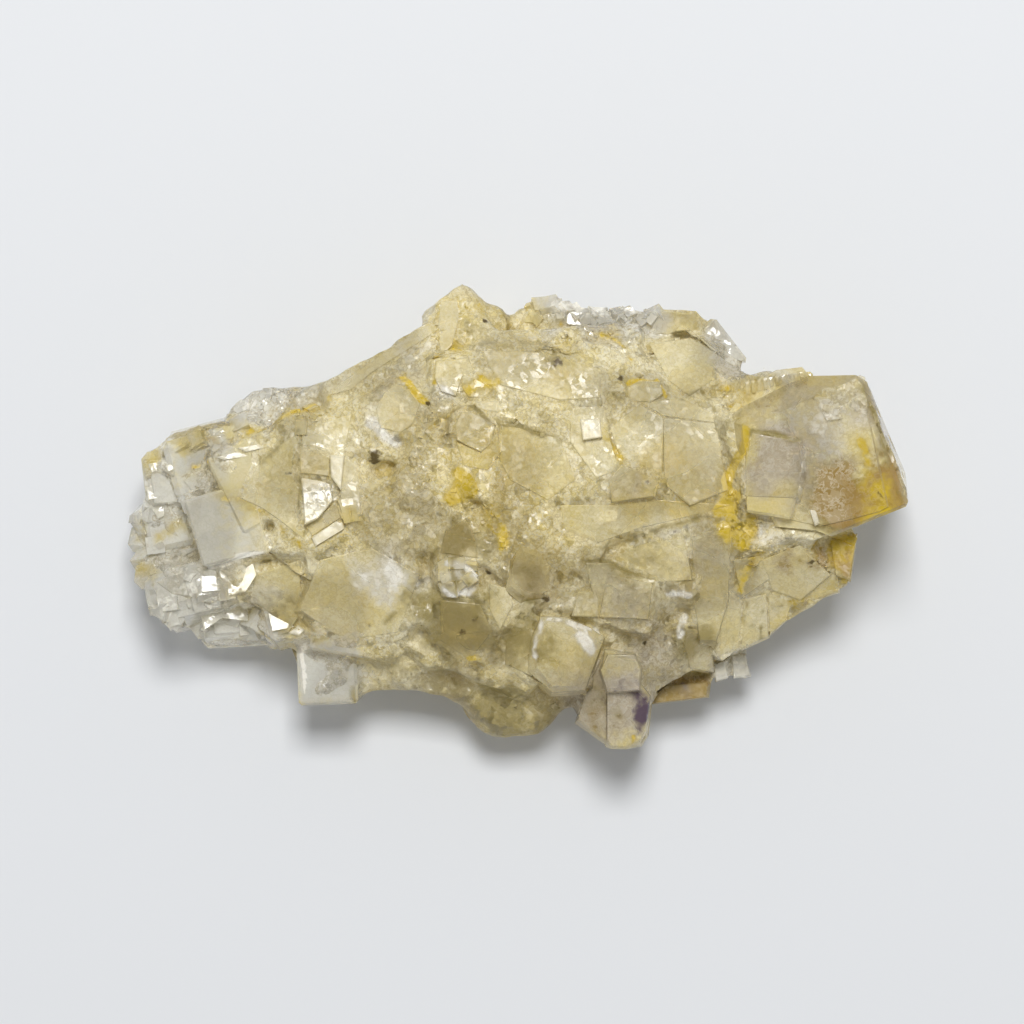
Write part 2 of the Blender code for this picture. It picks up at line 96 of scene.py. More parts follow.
# %% [markdown]
# ## The camera
#
# The specimen lies on its back and is seen from straight above, with a long lens, as flat pieces are often
# shown: from far away, tall crystals lean outwards very little. The frame is square. Its width at the
# height of the crystals fixes how far away the camera stands.

# %% Camera, straight above
FRAME_WIDTH = 122.9 * MM
SEEN_HEIGHT = 14 * MM
AIM = (-0.5 * MM, 0.5 * MM)
LENS_MM, SENSOR_MM = 150, 36
NEAREST = 0.01


def placed(name, data):
    """A new object that shows data, linked to the scene."""
    made = bpy.data.objects.new(name, data)
    bpy.context.scene.collection.objects.link(made)
    return made


camera = placed("camera", bpy.data.cameras.new("camera"))
camera.data.lens = LENS_MM
camera.data.sensor_width = SENSOR_MM
camera.data.clip_start = NEAREST
camera.location = (*AIM, SEEN_HEIGHT + FRAME_WIDTH * LENS_MM / SENSOR_MM)
bpy.context.scene.camera = camera
print("camera stands", round(camera.location.z, 3), "m above the floor")

# %% [markdown]
# ## Floor and light
#
# A pale floor inside a light tent, and one broad soft lamp high on the far side, so that the shadow is soft
# and falls towards the viewer. Clear crystal has no brightness of its own. It shows what is round it, bent
# and mirrored. So the tent is bright at its sides, which lights the crystals from within, and dim overhead,
# so that no veil of sky lies on the upper faces. The lamp is large: its reflections are the white facets.

# %% Floor, sky and lamp
FLOOR_SIDE = 4.0
FLOOR_Z = -0.05 * MM
FLOOR_COLOUR = (0.69, 0.703, 0.718, 1)
FLOOR_ROUGHNESS, FLOOR_SHINE = 0.9, 0.1
SKY_COLOUR = (0.97, 0.98, 1.0, 1)
TENT_SIDE, TENT_TOP = 1.1, 0.28
TENT_SHOULDER = 0.7
KEY_PLACE, KEY_AIM = Vector((0.02, 0.30, 0.75)), Vector((0, 0, 0.01))
KEY_SIZE, KEY_POWER = 0.24, 5.4
BOUNCES = 8

floor_mesh = bpy.data.meshes.new("floor")
half = FLOOR_SIDE / 2
corners = [(-half, -half, FLOOR_Z), (half, -half, FLOOR_Z), (half, half, FLOOR_Z), (-half, half, FLOOR_Z)]
floor_mesh.from_pydata(corners, [], [(0, 1, 2, 3)])
floor = placed("floor", floor_mesh)
floor_paint = bpy.data.materials.new("floor")
floor_paint.use_nodes = True
floor_shader = floor_paint.node_tree.nodes["Principled BSDF"]
floor_shader.inputs["Base Color"].default_value = FLOOR_COLOUR
floor_shader.inputs["Roughness"].default_value = FLOOR_ROUGHNESS
floor_shader.inputs["Specular IOR Level"].default_value = FLOOR_SHINE
floor_mesh.materials.append(floor_paint)
floor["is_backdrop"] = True

world = bpy.data.worlds.new("sky")
bpy.context.scene.world = world
world.use_nodes = True
tent = world.node_tree
glow = tent.nodes["Background"].inputs
glow["Color"].default_value = SKY_COLOUR
way = tent.nodes.new("ShaderNodeTexCoord")
split = tent.nodes.new("ShaderNodeSeparateXYZ")
fall = tent.nodes.new("ShaderNodeMapRange")
tent.links.new(way.outputs["Generated"], split.inputs[0])
tent.links.new(split.outputs["Z"], fall.inputs["Value"])
fall.inputs["From Max"].default_value = TENT_SHOULDER
fall.inputs["To Min"].default_value = TENT_SIDE
fall.inputs["To Max"].default_value = TENT_TOP
tent.links.new(fall.outputs[0], glow["Strength"])

key = placed("key", bpy.data.lights.new("key", "AREA"))
key.data.size = KEY_SIZE
key.data.energy = KEY_POWER
key.location = KEY_PLACE
key.rotation_mode = "QUATERNION"
key.rotation_quaternion = (KEY_AIM - KEY_PLACE).to_track_quat("-Z", "Y")
bpy.context.scene.view_settings.view_transform = "Standard"
bpy.context.scene.cycles.max_bounces = BOUNCES
bpy.context.scene.cycles.transmission_bounces = BOUNCES
print("floor, sky and", len(bpy.data.lights), "lamp")

# %% [markdown]
# ## The grown solid, copied
#
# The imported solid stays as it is. Its copy is merged, because the file keeps each triangle loose, and then
# it can be worked on.

# %% Copy and merge the solid
MERGE_WITHIN = 0.002 * MM


def edit(mesh, work, result=None):
    """Opens a mesh, has work done on it, and writes it back, or to another mesh as the result."""
    bm = bmesh.new()
    bm.from_mesh(mesh)
    work(bm)
    bm.to_mesh(result or mesh)
    bm.free()


def merge(bm):
    bmesh.ops.remove_doubles(bm, verts=bm.verts, dist=MERGE_WITHIN)


def face_outwards(bm):
    bmesh.ops.recalc_face_normals(bm, faces=bm.faces)


grown = placed("grown", bpy.data.meshes.new("grown"))
edit(frame["nodes"]["fluorite_cluster"].data, merge, grown.data)
grown.data.materials.clear()
print("merged:", len(grown.data.vertices), "corners,", len(grown.data.polygons), "triangles")

# %% [markdown]
# ## Massive stone between the crystals
#
# Most of the specimen isn't separate cubes: they grew into one another until only soft steps show.
# Remeshing the solid into small even squares and relaxing them melts its blocks together the same way.
# Relaxing it much further gives the broad form, and where the stone lies below that broad form, it is a
# hollow. Iron settles in hollows, so this depth is kept for the colour.

# %% Melt the blocks together
MESH_STEP = 0.5 * MM
RELAX, RELAX_BROAD = 26, 160
HOLLOW_DEEP = 0.6 * MM
LUMPS = ((0.10, 2.4), (0.06, 1.1))
LUMPS_FROM = 3 * MM
SEED = 11


def shaped(obj, *steps):
    """obj's mesh after some modifiers, each given as its type and its settings."""
    for kind, settings in steps:
        modifier = obj.modifiers.new(kind, kind)
        for key, value in settings.items():
            setattr(modifier, key, value)
    mesh = bpy.data.meshes.new_from_object(obj.evaluated_get(bpy.context.evaluated_depsgraph_get()))
    obj.modifiers.clear()
    return mesh


def vectors_of(items, key):
    """One vector of each item as an array (n, 3)."""
    flat = np.empty(len(items) * 3, np.float32)
    items.foreach_get(key, flat)
    return flat.reshape(-1, 3).astype(float)


def spots_of(mesh):
    """The mesh's corners as an array (n, 3)."""
    return vectors_of(mesh.vertices, "co")


def move_corners(mesh, spots):
    """Puts the mesh's corners at the spots."""
    mesh.vertices.foreach_set("co", spots.astype(np.float32).ravel())
    mesh.update()


def store(mesh, name, values, domain="FACE"):
    """Keeps one value for each face of the mesh, or for each corner where domain is POINT."""
    mesh.attributes.new(name, "FLOAT", domain).data.foreach_set("value", np.asarray(values, np.float32))


def smooth(t):
    """From 0 to 1 while t goes from 0 to 1, slow at both ends: t t (3 - 2 t)."""
    t = np.clip(t, 0, 1)
    return t * t * (3 - 2 * t)


def ripple(places, across, random, waves=40):
    """Soft random hills about `across` wide: the sum of sine waves that run in random directions, scaled so
    that most values lie between -1 and 1."""
    directions = random.normal(size=(waves, 3))
    directions *= (math.pi / across / np.linalg.norm(directions, axis=1))[:, None]
    phases = random.uniform(0, 2 * math.pi, waves)
    return np.sin(places @ directions.T + phases).sum(axis=1) / math.sqrt(waves)


random = np.random.default_rng(SEED)
squares = ("REMESH", {"mode": "VOXEL", "voxel_size": MESH_STEP})
broad = spots_of(shaped(grown, squares, ("SMOOTH", {"factor": 0.5, "iterations": RELAX_BROAD})))
stone_mesh = shaped(grown, squares, ("SMOOTH", {"factor": 0.5, "iterations": RELAX}))
spots, normals = spots_of(stone_mesh), vectors_of(stone_mesh.vertex_normals, "vector")
hollow = ((broad - spots) * normals).sum(axis=1) / HOLLOW_DEEP
lumps = sum(height * ripple(spots, across * MM, random) for height, across in LUMPS)
spots += normals * (lumps * MM * smooth(spots[:, 2] / LUMPS_FROM))[:, None]
spots = np.clip(spots, np.array(cad_low), np.array(cad_high))
move_corners(stone_mesh, spots)
store(stone_mesh, "hollow", hollow, "POINT")
stone_mesh.shade_smooth()
specimen = placed("fluorite_crystals", stone_mesh)
print("melted:", len(spots), "corners, hollows", np.percentile(hollow, (5, 50, 95)).round(2))

# %% [markdown]
# ## Lines of sight
#
# The crystals are laid out as the camera sees them, on a frame 1024 steps wide and 1024 high, counted from
# its upper left corner. A tall crystal hides what is behind it, so a place in the view is found on the
# stone by a ray from the camera.

# %% Find a place in the view on the stone
FRAME_STEPS = 1024


def plan(u, v, height=SEEN_HEIGHT):
    """The point at a height that the camera sees at step (u, v) of the frame."""
    reach = (camera.location.z - height) / (camera.location.z - SEEN_HEIGHT) * FRAME_WIDTH
    across, up = u / FRAME_STEPS - 0.5, 0.5 - v / FRAME_STEPS
    return Vector((AIM[0] + across * reach, AIM[1] + up * reach, height))


def skin(obj):
    """The mesh as a tree that rays can be cast at."""
    return BVHTree.FromObject(obj, bpy.context.evaluated_depsgraph_get())


def sight(tree, u, v):
    """The first point of the stone that the camera sees at (u, v), or None beside it."""
    eye = camera.location
    return tree.ray_cast(eye, (plan(u, v, 0) - eye).normalized())[0]


tree = skin(specimen)
print("middle of the view meets the stone at", (np.array(sight(tree, 512, 512)) / MM).round(1), "mm")


# %% Join and cut
def combine(obj, operation, operand):
    """Unites obj with an object or with all of a collection, or cuts it away, and removes what was used."""
    joining = obj.modifiers.new("combine", "BOOLEAN")
    joining.operation = operation
    joining.solver = "MANIFOLD"
    if isinstance(operand, bpy.types.Collection):
        joining.operand_type = "COLLECTION"
        joining.collection = operand
        used = list(operand.objects)
    else:
        joining.object = operand
        used = [operand]
    obj.data = shaped(obj)
    for piece in used:
        spare = piece.data
        bpy.data.objects.remove(piece)
        bpy.data.meshes.remove(spare)


fine = bpy.data.collections.new("fine")
bpy.context.scene.collection.children.link(fine)

# %% [markdown]
# ## Faces that show in the stone
#
# Everywhere in the melted stone, flat faces of buried cubes come up: windows, panes, steps of a plateau.
# Each is a low block. Its outline is drawn in the view, its top is a plane that follows the ground under
# it, and its edges are broken by a small bevel, as grown edges are; the bevel is painted lighter unless a
# face says otherwise, a painted highlight. A face may lean towards the lamp instead: half-way between the
# lamp and the eye, it mirrors the lamp, and shines white, and its pale tone adds a painted highlight.
#
# The plane z = a + b x + c y is fitted to the ground under the corners by least squares. Each corner then
# slides along its line of sight until it meets the plane, raised by `rise`. A face with a `host` lies on
# that face instead.

# %% What a face is
# A face's edge is added to its tone on the bevel; the default 0.1 makes the bevel lighter, a painted
# highlight.
Face = namedtuple("Face", "name outline rise tone seam lean crown drop foot spread edge host",
                  defaults=(0.0, 0.15, None, None, 0.07, 2.5, 1.12, 0.1, None))
LAMP_WAY = KEY_PLACE.normalized()
HALF_WAY = (LAMP_WAY + Vector((0, 0, 1))).normalized()
MIRROR = (-HALF_WAY.x / HALF_WAY.z, -HALF_WAY.y / HALF_WAY.z)
GROUND_SHARE, STEEPEST = 0.8, 0.7
ENOUGH_SPOTS = 5
BESIDE_HEIGHT = 6 * MM
CROWN_INSET = 2.2
MIRROR_CLEAN, FACE_CLEAN, WALL_CLEAN = 0.6, 0.62, 0.4
WALL_TONE = -0.04


def ground(tree, outline, lean):
    """Height and slopes (a, b, c) of the plane under an outline. lean replaces the slopes where it is given,
    and its third number, where it has one, is the height of the middle in mm."""
    middle = np.mean(outline, axis=0)
    seen = [sight(tree, *corner) for corner in [*outline, middle, middle, middle]]
    seen = np.array([spot for spot in seen if spot is not None])
    if len(seen) == 0:
        seen = np.array([plan(*middle, BESIDE_HEIGHT)])
    x, y, z = seen.mean(axis=0)
    slopes = np.zeros(2)
    if lean is not None:
        slopes = np.array(MIRROR if lean == "lamp" else lean[:2])
        if len(lean) == 3:
            x, y, z = plan(*middle, lean[2] * MM)
    elif len(seen) > ENOUGH_SPOTS:
        slopes = np.linalg.lstsq(seen[:, :2] - (x, y), seen[:, 2] - z, rcond=None)[0] * GROUND_SHARE
        slopes = np.clip(slopes, -STEEPEST, STEEPEST)
    return z - slopes @ (x, y), slopes[0], slopes[1]


def on_host(face, host, plane):
    """The plane of a face that lies on another face, which has its own plane."""
    a, b, c = plane
    x, y, z = on_plane([np.mean(face.outline, axis=0)], plane, host.rise * MM)[0]
    slopes = np.array(MIRROR if face.lean == "lamp" else (b, c))
    return z - slopes @ (x, y), slopes[0], slopes[1]


def on_plane(corners, plane, lift):
    """Where the lines of sight through the corners meet the plane raised by lift."""
    eye = np.array(camera.location)
    rays = np.array([plan(u, v, 0) for u, v in corners]) - eye
    a, b, c = plane
    slope = np.array([-b, -c, 1.0])
    reach = (a + lift - slope @ eye) / (rays @ slope)
    return eye + rays * reach[:, None]


def shrunk(corners, share):
    corners = np.array(corners, float)
    middle = corners.mean(axis=0)
    return middle + (corners - middle) * share


def block(face, plane, collection):
    """A closed block with three rings of corners: the crown on top, the shoulder round it and the foot in the
    stone. The crown's face gets the face's tone, the bevel from crown to shoulder gets the tone plus the
    face's edge, a painted highlight where that is lighter, and the walls get its seam."""
    outline = np.array(face.outline, float)
    width = np.ptp(outline, axis=0).min()
    crown = shrunk(outline, 1 - CROWN_INSET / width) if face.crown is None else np.array(face.crown, float)
    rings = [on_plane(crown, plane, face.rise * MM),
             on_plane(outline, plane, (face.rise - face.drop) * MM),
             on_plane(shrunk(outline, face.spread), plane, (face.rise - face.foot) * MM)]
    n = len(outline)
    step = [(i, (i + 1) % n) for i in range(n)]
    walls = [(r * n + i, r * n + j, (r + 1) * n + j, (r + 1) * n + i) for r in (0, 1) for i, j in step]
    mesh = bpy.data.meshes.new(face.name.replace(" ", "_"))
    foot = tuple(range(2 * n, 3 * n))[::-1]
    mesh.from_pydata(np.vstack(rings).tolist(), [], [tuple(range(n)), *walls, foot])
    clean = MIRROR_CLEAN if face.lean == "lamp" else FACE_CLEAN
    tone = face.tone
    store(mesh, "clean", [clean] * (n + 1) + [WALL_CLEAN] * (n + 1))
    store(mesh, "tone", [tone] + [tone + face.edge] * n + [tone + WALL_TONE] * (n + 1))
    store(mesh, "seam", [0.0] * (n + 1) + [face.seam] * (n + 1))
    edit(mesh, face_outwards)
    collection.objects.link(bpy.data.objects.new(mesh.name, mesh))


# %% Faces, west to east
def mirror(name, outline, rise, tone, seam=0.0, host=None):
    """A face that leans so that it mirrors the lamp. Its pale tone paints a highlight over that reflection.
    """
    return Face(name, outline, rise, tone, seam, "lamp", host=host)


CLEAR_END = [
    Face("end top", [(166, 438), (196, 427), (223, 421), (232, 429), (214, 430), (182, 446), (163, 462)],
         0.2, -0.25, spread=0.97),
    Face("end corner", [(143, 462), (149, 453), (163, 447), (162, 461), (147, 467)], 0.2, -0.3,
         spread=0.97),
    mirror("end glint north", [(148, 464), (160, 461), (161, 470), (152, 473)], 0.35, 0.7),
    mirror("end glint", [(165, 466), (179, 461), (180, 467), (168, 472)], 0.35, 0.8),
    mirror("end mirror", [(146, 488), (162, 481), (166, 497), (148, 500)], 0.35, 0.9),
    mirror("end mirror south", [(148, 502), (165, 499), (164, 516), (158, 519)], 0.3, 0.7),
    Face("end bar", [(166, 500), (171, 512), (174, 530), (184, 545), (178, 549), (165, 528), (163, 512)],
         0.28, -0.4),
    Face("end wedge", [(178, 550), (198, 548), (184, 556)], 0.3, 0.5),
    Face("end pane", [(168, 576), (205, 566), (226, 588), (206, 599), (172, 594), (156, 582)], 0.2, 0.3),
    mirror("end shelf", [(200, 612), (222, 606), (246, 600), (248, 621), (222, 618), (204, 630)], 0.3, 0.6),
    Face("end wedge south", [(168, 621), (171, 606), (178, 612), (182, 624), (170, 628)], 0.35, 0.5,
         spread=0.97),
    Face("end shard", [(190, 628), (206, 619), (232, 620), (258, 634), (244, 639), (198, 639)], 0.25, 0.0,
         spread=0.97),
    Face("end brown", [(252, 619), (298, 617), (288, 632), (276, 636)], 0.2, -0.35),
    mirror("end tooth", [(288, 633), (298, 625), (305, 630), (299, 636)], 0.35, 0.8),
    Face("end olive", [(136, 566), (152, 560), (156, 578), (143, 590), (134, 582)], 0.2, -0.25,
         spread=0.97),
    mirror("end spark", [(212, 434), (226, 428), (229, 434), (216, 439)], 0.35, 0.7),
    mirror("end streak", [(216, 457), (236, 452), (258, 450), (250, 456), (224, 460)], 0.32, 0.8),
    mirror("end streak east", [(238, 448), (258, 444), (264, 448), (246, 452)], 0.32, 0.8),
]
WEST = [
    Face("window", [(186, 503), (222, 498), (258, 509), (268, 552), (209, 567)], 0.28, 0.05),
    Face("grey face", [(262, 458), (298, 433), (299, 500), (304, 540), (282, 522), (262, 508), (240, 498)],
         0.2, 0.0),
    Face("left pane", [(302, 430), (318, 424), (352, 414), (346, 448), (330, 457), (302, 446)], 0.16, 0.05),
    mirror("bright west", [(301, 474), (329, 478), (333, 500), (318, 518), (305, 524)], 0.61, 0.7, 0.1),
    Face("bright top", [(300, 446), (329, 458), (329, 476), (300, 473)], 0.32, -0.3),
    mirror("bright streak", [(330, 455), (344, 456), (341, 490), (331, 477)], 0.66, 0.7, 0.1),
    Face("bright east", [(345, 455), (357, 466), (362, 515), (345, 520), (340, 492)], 0.28, 0.3, 0.1),
    mirror("bright foot", [(312, 538), (336, 521), (343, 523), (344, 529), (316, 546)], 0.55, 0.9, 0.1),
    Face("bright heart", [(319, 518), (336, 500), (340, 518), (312, 536), (306, 526)], 0.24, -0.2),
    Face("broad slab", [(320, 560), (372, 548), (420, 575), (398, 632), (345, 640), (300, 610)], 0.14,
         -0.05),
    Face("west slab", [(255, 575), (300, 560), (300, 600), (290, 628), (252, 600)], 0.14, -0.12),
]
MIDDLE = [
    Face("ridge crystal", [(441, 302), (457, 300), (459, 316), (452, 345), (441, 356), (438, 330)], 0.28,
         0.45),
    Face("ridge", [(345, 380), (430, 322), (438, 330), (372, 372), (350, 390), (330, 395)], 0.16, 0.2),
    Face("brown cube", [(436, 361), (468, 358), (474, 372), (462, 376), (456, 396), (441, 391), (435, 378)],
         0.5, -0.25, 0.6),
    Face("amber knob", [(463, 373), (480, 381), (493, 388), (487, 398), (468, 397), (461, 386)], 0.2, -0.1,
         0.9),
    Face("pale pane", [(478, 401), (500, 401), (498, 412), (480, 410)], 0.18, 0.3),
    Face("round window", [(384, 393), (396, 384), (410, 390), (420, 404), (413, 424), (400, 433),
         (380, 427), (376, 409)], 0.24, 0.1),
    Face("six-sided window", [(455, 426), (460, 413), (472, 412), (496, 425), (490, 444), (481, 452),
         (457, 440)], 0.24, 0.1),
    Face("lower window", [(456, 442), (481, 453), (497, 432), (501, 452), (488, 470), (464, 466)], 0.16,
         -0.05),
    Face("roof", [(500, 424), (560, 438), (575, 480), (548, 500), (510, 480), (497, 455)], 0.18, -0.08,
         0.5),
    mirror("bright square", [(580, 419), (600, 419), (602, 437), (583, 440)], 0.32, 0.5, 0.1),
    Face("square's host", [(572, 408), (604, 404), (610, 440), (620, 470), (596, 478), (570, 442)], 0.16,
         0.05),
    Face("upper plane", [(480, 350), (545, 352), (600, 370), (600, 398), (560, 400), (500, 385)], 0.14,
         0.0),
    Face("oval window", [(626, 388), (640, 380), (660, 382), (663, 394), (652, 402), (630, 402)], 0.24,
         0.05, 0.9, (0.0, 0.0)),
]
PLATEAU = [
    Face("plateau west", [(610, 428), (640, 405), (664, 418), (662, 480), (622, 462), (617, 450)], 0.2,
         0.05, 0.15, (0.0, 0.0)),
    Face("plateau middle", [(664, 418), (716, 424), (728, 490), (690, 505), (664, 484)], 0.26, 0.25),
    Face("grey pane", [(622, 464), (660, 482), (655, 496), (612, 502), (608, 480)], 0.24, -0.2),
    Face("plateau north", [(640, 402), (680, 398), (716, 414), (716, 423), (664, 416)], 0.16, 0.0),
    Face("band's field", [(560, 505), (612, 505), (660, 500), (730, 505), (700, 514), (640, 528),
         (598, 543), (565, 530)], 0.12, 0.0),
    Face("front field west", [(612, 560), (640, 545), (684, 537), (692, 580), (656, 582), (640, 572)], 0.18,
         -0.1),
    Face("front field east", [(692, 537), (730, 528), (728, 600), (716, 640), (700, 640), (694, 598)], 0.2,
         -0.15),
    Face("dark pane", [(685, 583), (693, 582), (691, 596), (684, 598)], 0.28, -0.6),
    Face("front foot", [(686, 628), (712, 632), (714, 672), (690, 668), (684, 645)], 0.22, -0.4),
    Face("nested outer", [(586, 563), (612, 563), (652, 580), (657, 598), (655, 622), (600, 620),
         (592, 590)], 0.24, -0.05, 0.5),
    Face("nested inner", [(607, 574), (652, 584), (648, 619), (600, 617)], 0.61, -0.12),
    Face("nested step", [(578, 592), (600, 592), (598, 617), (572, 616)], 0.5, -0.1),
    Face("back plane", [(650, 345), (690, 338), (715, 350), (712, 380), (690, 396), (668, 380)], 0.18, 0.0),
    Face("back olive", [(652, 322), (662, 311), (695, 314), (697, 322), (694, 330), (672, 334), (655, 334)],
         0.1, -0.3, 0.3, (0.0, 0.1, 15.85), spread=1.0),
    Face("ribs west", [(722, 585), (742, 600), (738, 650), (720, 655)], 0.2, -0.05),
    Face("ribs middle", [(744, 598), (766, 594), (768, 636), (742, 648)], 0.2, -0.05),
    Face("ribs east", [(768, 592), (796, 592), (786, 620), (770, 634)], 0.2, -0.1),
]
GREAT_CUBE = [
    Face("great cube", [(724, 420), (742, 407), (790, 383), (808, 376), (856, 375), (867, 382), (906, 504),
         (892, 511), (857, 527), (820, 532), (800, 528), (747, 518), (741, 470)], 1.0, -0.1, 0.0,
         (0.07, 0.26, 24.35), crown=[(742, 425), (762, 421), (800, 403), (830, 391), (856, 382), (861, 388),
         (887, 507), (880, 511), (850, 519), (820, 526), (802, 522), (752, 511), (747, 468)], drop=2.2,
         foot=7.0, spread=0.99, edge=-0.55),
    Face("lilac cube", [(752, 433), (800, 442), (801, 474), (796, 498), (746, 496), (747, 462)], 0.5, -0.45,
         0.0, (0.08, 0.15, 25.3), spread=1.0),
    mirror("cube mirror", [(818, 398), (832, 390), (836, 400), (842, 418), (827, 420), (819, 406)], 0.35,
         0.9, host="great cube"),
    mirror("cube streak", [(809, 509), (814, 506), (820, 523), (815, 526)], 0.3, 0.9, host="great cube"),
]
RIDGELETS = [
    Face("ridge bed", [(732, 404), (742, 388), (776, 370), (802, 367), (810, 376), (790, 384), (744, 408)],
         0.1, -0.05, 0.3, (0.0, 0.1, 20.45), spread=1.0),
] + [
    Face(f"ridgelet {number}",
         [(745 + 6 * number, 382 - 1.1 * number), (749 + 6 * number, 381 - 1.1 * number),
          (750 + 6 * number, 394 - 1.8 * number), (746 + 6 * number, 395 - 1.8 * number)],
         (0.2, 0.35)[number % 2], (0.25, -0.1)[number % 2], 0.3, (0.0, 0.1, 20.5), spread=1.0)
    for number in range(10)
]
FRONT = [
    Face("amber slab", [(733, 560), (760, 556), (775, 575), (742, 598)], 0.24, -0.15, 0.9),
    Face("brown pane", [(762, 560), (800, 545), (830, 575), (800, 600), (772, 590)], 0.24, -0.25, 0.7),
    Face("amber corner", [(830, 540), (856, 536), (850, 580), (836, 575)], 0.2, -0.15, 1.0),
    Face("pink pane", [(800, 575), (838, 572), (838, 592), (812, 600)], 0.2, -0.05),
    Face("sparkly quartz", [(437, 563), (449, 556), (464, 558), (478, 576), (453, 597), (441, 582)], 0.55,
         0.3),
    Face("olive face", [(445, 531), (465, 519), (473, 531), (478, 558), (440, 553)], 0.16, -0.6),
    Face("smoky knob", [(509, 560), (520, 544), (540, 550), (552, 574), (549, 600), (521, 604), (506, 590)],
         0.61, -0.45, 0.1, crown=[(514, 563), (523, 551), (536, 556), (543, 575), (541, 592), (523, 596),
         (511, 586)], drop=0.8),
    Face("wedge", [(490, 583), (506, 588), (513, 604), (500, 630), (490, 610)], 0.5, -0.05),
    Face("front slope", [(440, 600), (480, 604), (492, 632), (470, 660), (440, 640)], 0.12, -0.45),
    Face("brown face", [(506, 640), (530, 628), (537, 655), (532, 676), (505, 664)], 0.2, -0.3),
    Face("clear cube", [(541, 617), (566, 617), (590, 628), (604, 638), (597, 657), (585, 690), (552, 692),
         (528, 671), (531, 640)], 2.6, -0.25, 0.0, (0.0, 0.12), [(549, 625), (562, 627), (574, 632),
         (584, 648), (581, 664), (576, 686), (552, 686), (538, 668), (542, 645)], drop=1.5, foot=7.0),
    Face("violet flank", [(605, 650), (601, 672), (607, 692), (607, 742), (590, 730), (577, 721),
         (586, 690)], 1.4, -0.5, 0.0, drop=0.3, foot=6.0),
    Face("violet prism", [(605, 650), (634, 654), (641, 684), (650, 696), (646, 732), (640, 742),
         (626, 748), (612, 747), (607, 742), (607, 690), (601, 672)], 2.4, -0.2, 0.0, drop=0.3, foot=8.0),
    Face("violet step", [(608, 655), (634, 655), (640, 668), (639, 690), (608, 692), (601, 670)], 3.2, -0.1,
         0.0),
    Face("ledge", [(652, 686), (708, 682), (706, 697), (655, 703)], 0.28, -0.9, 1.0),
    Face("corner cube", [(714, 664), (724, 660), (728, 678), (716, 681)], 0.32, 0.4, 0.0),
    Face("corner cube east", [(732, 656), (745, 655), (750, 676), (734, 678)], 0.55, 0.5, 0.0),
]

# %% [markdown]
# ## Ground flat enough for the faces
#
# A grown face lies in the stone, not on it. So the melted stone under each face is first pulled flat: every
# corner of the mesh that the camera sees inside the outline moves up or down to the face's plane, and
# corners just outside follow less and less.

# %% Flatten the ground
SLOPE_STEPS = 12
FARTHEST_PULL = 3 * MM
UPPER_NORMAL, UPPER_FROM = 0.1, 4 * MM
TINY = 1e-9


def seen_at(spots):
    """Where the camera sees each spot, as steps (n, 2) of the frame."""
    nearer = (camera.location.z - SEEN_HEIGHT) / (camera.location.z - spots[:, 2]) / FRAME_WIDTH
    across = (spots[:, 0] - AIM[0]) * nearer
    down = (AIM[1] - spots[:, 1]) * nearer
    return (np.column_stack([across, down]) + 0.5) * FRAME_STEPS


def outside(points, outline):
    """How far each point lies outside an outline, 0 inside it. A point is inside when a line from it to the
    far right crosses the outline an odd number of times."""
    outline = np.array(outline, float)
    farther = np.full(len(points), np.inf)
    inside = np.zeros(len(points), bool)
    for start, end in zip(outline, np.roll(outline, -1, axis=0)):
        way = end - start
        share = np.clip((points - start) @ way / (way @ way), 0, 1)
        farther = np.minimum(farther, np.linalg.norm(points - start - share[:, None] * way, axis=1))
        spans = (start[1] > points[:, 1]) != (end[1] > points[:, 1])
        rise = way[1] if way[1] else TINY
        inside ^= spans & (points[:, 0] < start[0] + (points[:, 1] - start[1]) / rise * way[0])
    return np.where(inside, 0.0, farther)


grown_faces = CLEAR_END + WEST + MIDDLE + PLATEAU + GREAT_CUBE + RIDGELETS + FRONT
tree = skin(specimen)
by_name = {face.name: face for face in grown_faces}
planes = {face.name: ground(tree, face.outline, face.lean) for face in grown_faces if face.host is None}
for face in grown_faces:
    if face.host is not None:
        planes[face.name] = on_host(face, by_name[face.host], planes[face.host])
upper = (normals[:, 2] > UPPER_NORMAL) & (spots[:, 2] > UPPER_FROM)
level = spots[upper]
points = seen_at(level)
for face in grown_faces:
    if face.host is not None:
        continue
    a, b, c = planes[face.name]
    way_to_go = a + b * level[:, 0] + c * level[:, 1] - level[:, 2]
    pull = smooth(1 - outside(points, face.outline) / SLOPE_STEPS) * (np.abs(way_to_go) < FARTHEST_PULL)
    level[:, 2] += pull * way_to_go
spots[upper] = level
move_corners(specimen.data, spots)
print("ground pulled flat under", len(grown_faces), "faces")

# %% [markdown]
# The resting side is one plane, so its thousands of small squares are joined into one face.

# %% Join the squares of the resting side
RESTING_BELOW = 0.02 * MM


def join_resting(bm):
    resting = [face for face in bm.faces if max(vert.co.z for vert in face.verts) < RESTING_BELOW]
    bmesh.ops.dissolve_faces(bm, faces=resting)
    print(len(resting), "squares joined")


edit(specimen.data, join_resting)

# %% [markdown]
# ## Crystals that stay sharp
#
# The clear end, the great cube and a few others kept their sharp edges. They are taken from the solid as it
# was: its copy is cut with columns over those crystals, and what is left goes back on the melted stone.

# %% Keep the sharp crystals
SHARP = {
    "clear end": [(112, 440), (165, 415), (236, 412), (252, 450), (255, 498), (268, 556), (240, 600),
                  (318, 640), (300, 655), (180, 655), (112, 600)],
    "great cube": [(724, 418), (738, 398), (800, 366), (880, 350), (930, 515), (852, 545), (812, 530),
                   (745, 524), (740, 440)],
    "glass corner": [(285, 640), (362, 640), (362, 715), (285, 715)],
    "back plates": [(644, 300), (765, 300), (765, 368), (712, 350), (690, 330), (646, 334)],
}
COLUMN = (-5 * MM, 40 * MM)
COLUMN_SEEN_AT = 18 * MM


